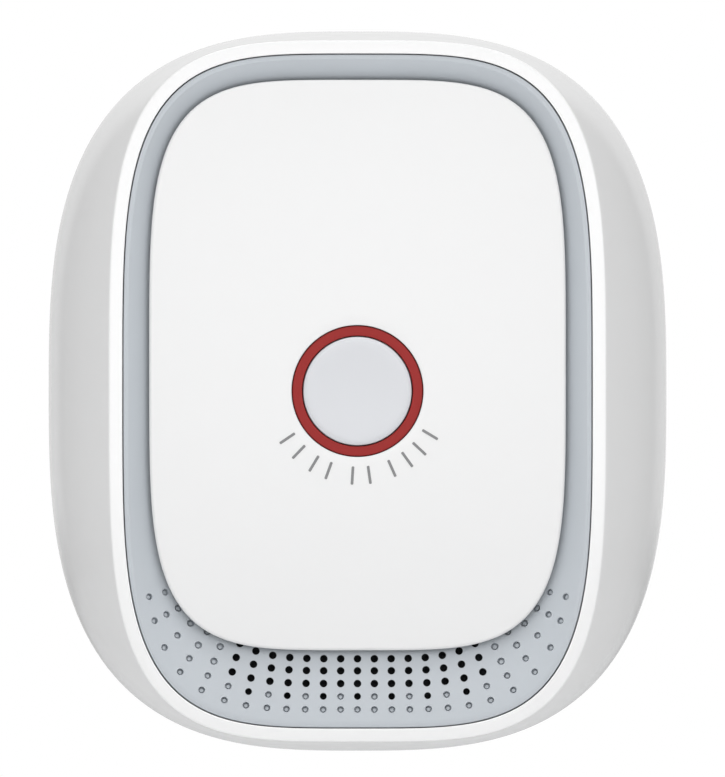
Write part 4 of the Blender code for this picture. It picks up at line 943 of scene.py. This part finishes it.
VIEW_TALL = 85.4 * MM
VIEW_MIDDLE = (0.55 * MM, 0.28 * MM)
ROOM_LIGHT = 0.43
SCREEN_LIGHT = 0.365
CASING_MIDDLE = (0.0, -0.015, 0.0)


def camera():
    """Straight at the face through a very long lens, so that it is seen all but flat."""
    lens, sensor = 1200.0, 36.0
    place = (VIEW_MIDDLE[0], -BODY_DEPTH - VIEW_TALL * lens / sensor, VIEW_MIDDLE[1])
    bpy.ops.object.camera_add(location=place, rotation=(math.pi / 2, 0.0, 0.0))
    view = bpy.context.object
    view.data.lens = lens
    view.data.sensor_width = sensor
    view.data.clip_start = 0.05
    view.data.clip_end = 50.0
    bpy.context.scene.camera = view


def soft_light(name, place, size, power, target):
    data = bpy.data.lights.new(name, "AREA")
    data.shape = "RECTANGLE"
    data.size, data.size_y = size
    data.energy = power
    light = bpy.data.objects.new(name, data)
    light.location = place
    light.rotation_euler = (Vector(target) - Vector(place)).to_track_quat("-Z", "Y").to_euler()
    light.visible_camera = False
    bpy.context.scene.collection.objects.link(light)


def room():
    """An evenly lit room with a bright screen behind. The camera sees it plain white."""
    world = bpy.data.worlds.new("studio")
    bpy.context.scene.world = world
    world.use_nodes = True
    sky = Nodes(world.node_tree)
    sky.tree.nodes.remove(sky.tree.nodes["Background"])
    facing = sky.node("ShaderNodeTexCoord", output="Generated")
    screen = SCREEN_LIGHT
    for axis, start, end in (("Y", 0.82, 0.88), ("Z", -0.08, -0.02)):
        way = sky.node("ShaderNodeSeparateXYZ", {}, {0: facing}, axis)
        fade = {"Value": way, "From Min": start, "From Max": end}
        screen = screen * sky.node("ShaderNodeMapRange", {"interpolation_type": "SMOOTHSTEP"}, fade)
    white = (1.0, 1.0, 1.0, 1.0)
    lit = sky.node("ShaderNodeBackground", {}, {"Color": white, "Strength": screen + ROOM_LIGHT})
    plain = sky.node("ShaderNodeBackground", {}, {"Color": white})
    seen = sky.node("ShaderNodeLightPath", output="Is Camera Ray")
    choice = sky.node("ShaderNodeMixShader", {}, {"Fac": seen, 1: lit, 2: plain})
    sky.connect(sky.tree.nodes["World Output"].inputs["Surface"], choice)


def studio():
    """A strip and a box near the face, and two large boxes above it."""
    room()
    soft_light("face_strip", (0.0, -0.125, 0.013), (0.34, 0.05), 0.037, (0.0, 0.0, 0.013))
    soft_light("face_box", (0.0, -0.16, 0.04), (0.12, 0.12), 0.042, (0.0, 0.0, 0.01))
    soft_light("top_box", (0.0, -0.15, 0.6), (0.6, 0.5), 1.68, CASING_MIDDLE)
    soft_light("front_box", (0.0, -0.4, 0.5), (0.5, 0.3), 0.31, CASING_MIDDLE)
    bpy.context.scene.view_settings.view_transform = "Standard"


def floor():
    bpy.ops.object.select_all(action="DESELECT")
    bpy.ops.mesh.primitive_circle_add(vertices=96, radius=0.32, fill_type="NGON", location=(0.0, 0.0, -0.06))
    ground = bpy.context.object
    ground.name = "floor"
    finish = moulded("floor_white", (0.85, 0.855, 0.86), 0.6, 3 * MM, 0.01 * MM, 0.006)
    ground.data.materials.append(finish)


camera()
studio()
floor()
front_casing()
back_casing()
sound_dish()
face_panel()
light_ring()
button_cap()
press_marks()
plug_blade("blade_left", -BLADE_SPREAD)
plug_blade("blade_right", BLADE_SPREAD)
casing_screws()
back_label()
return_spring()
inner_pieces()

bpy.ops.object.select_all(action="DESELECT")
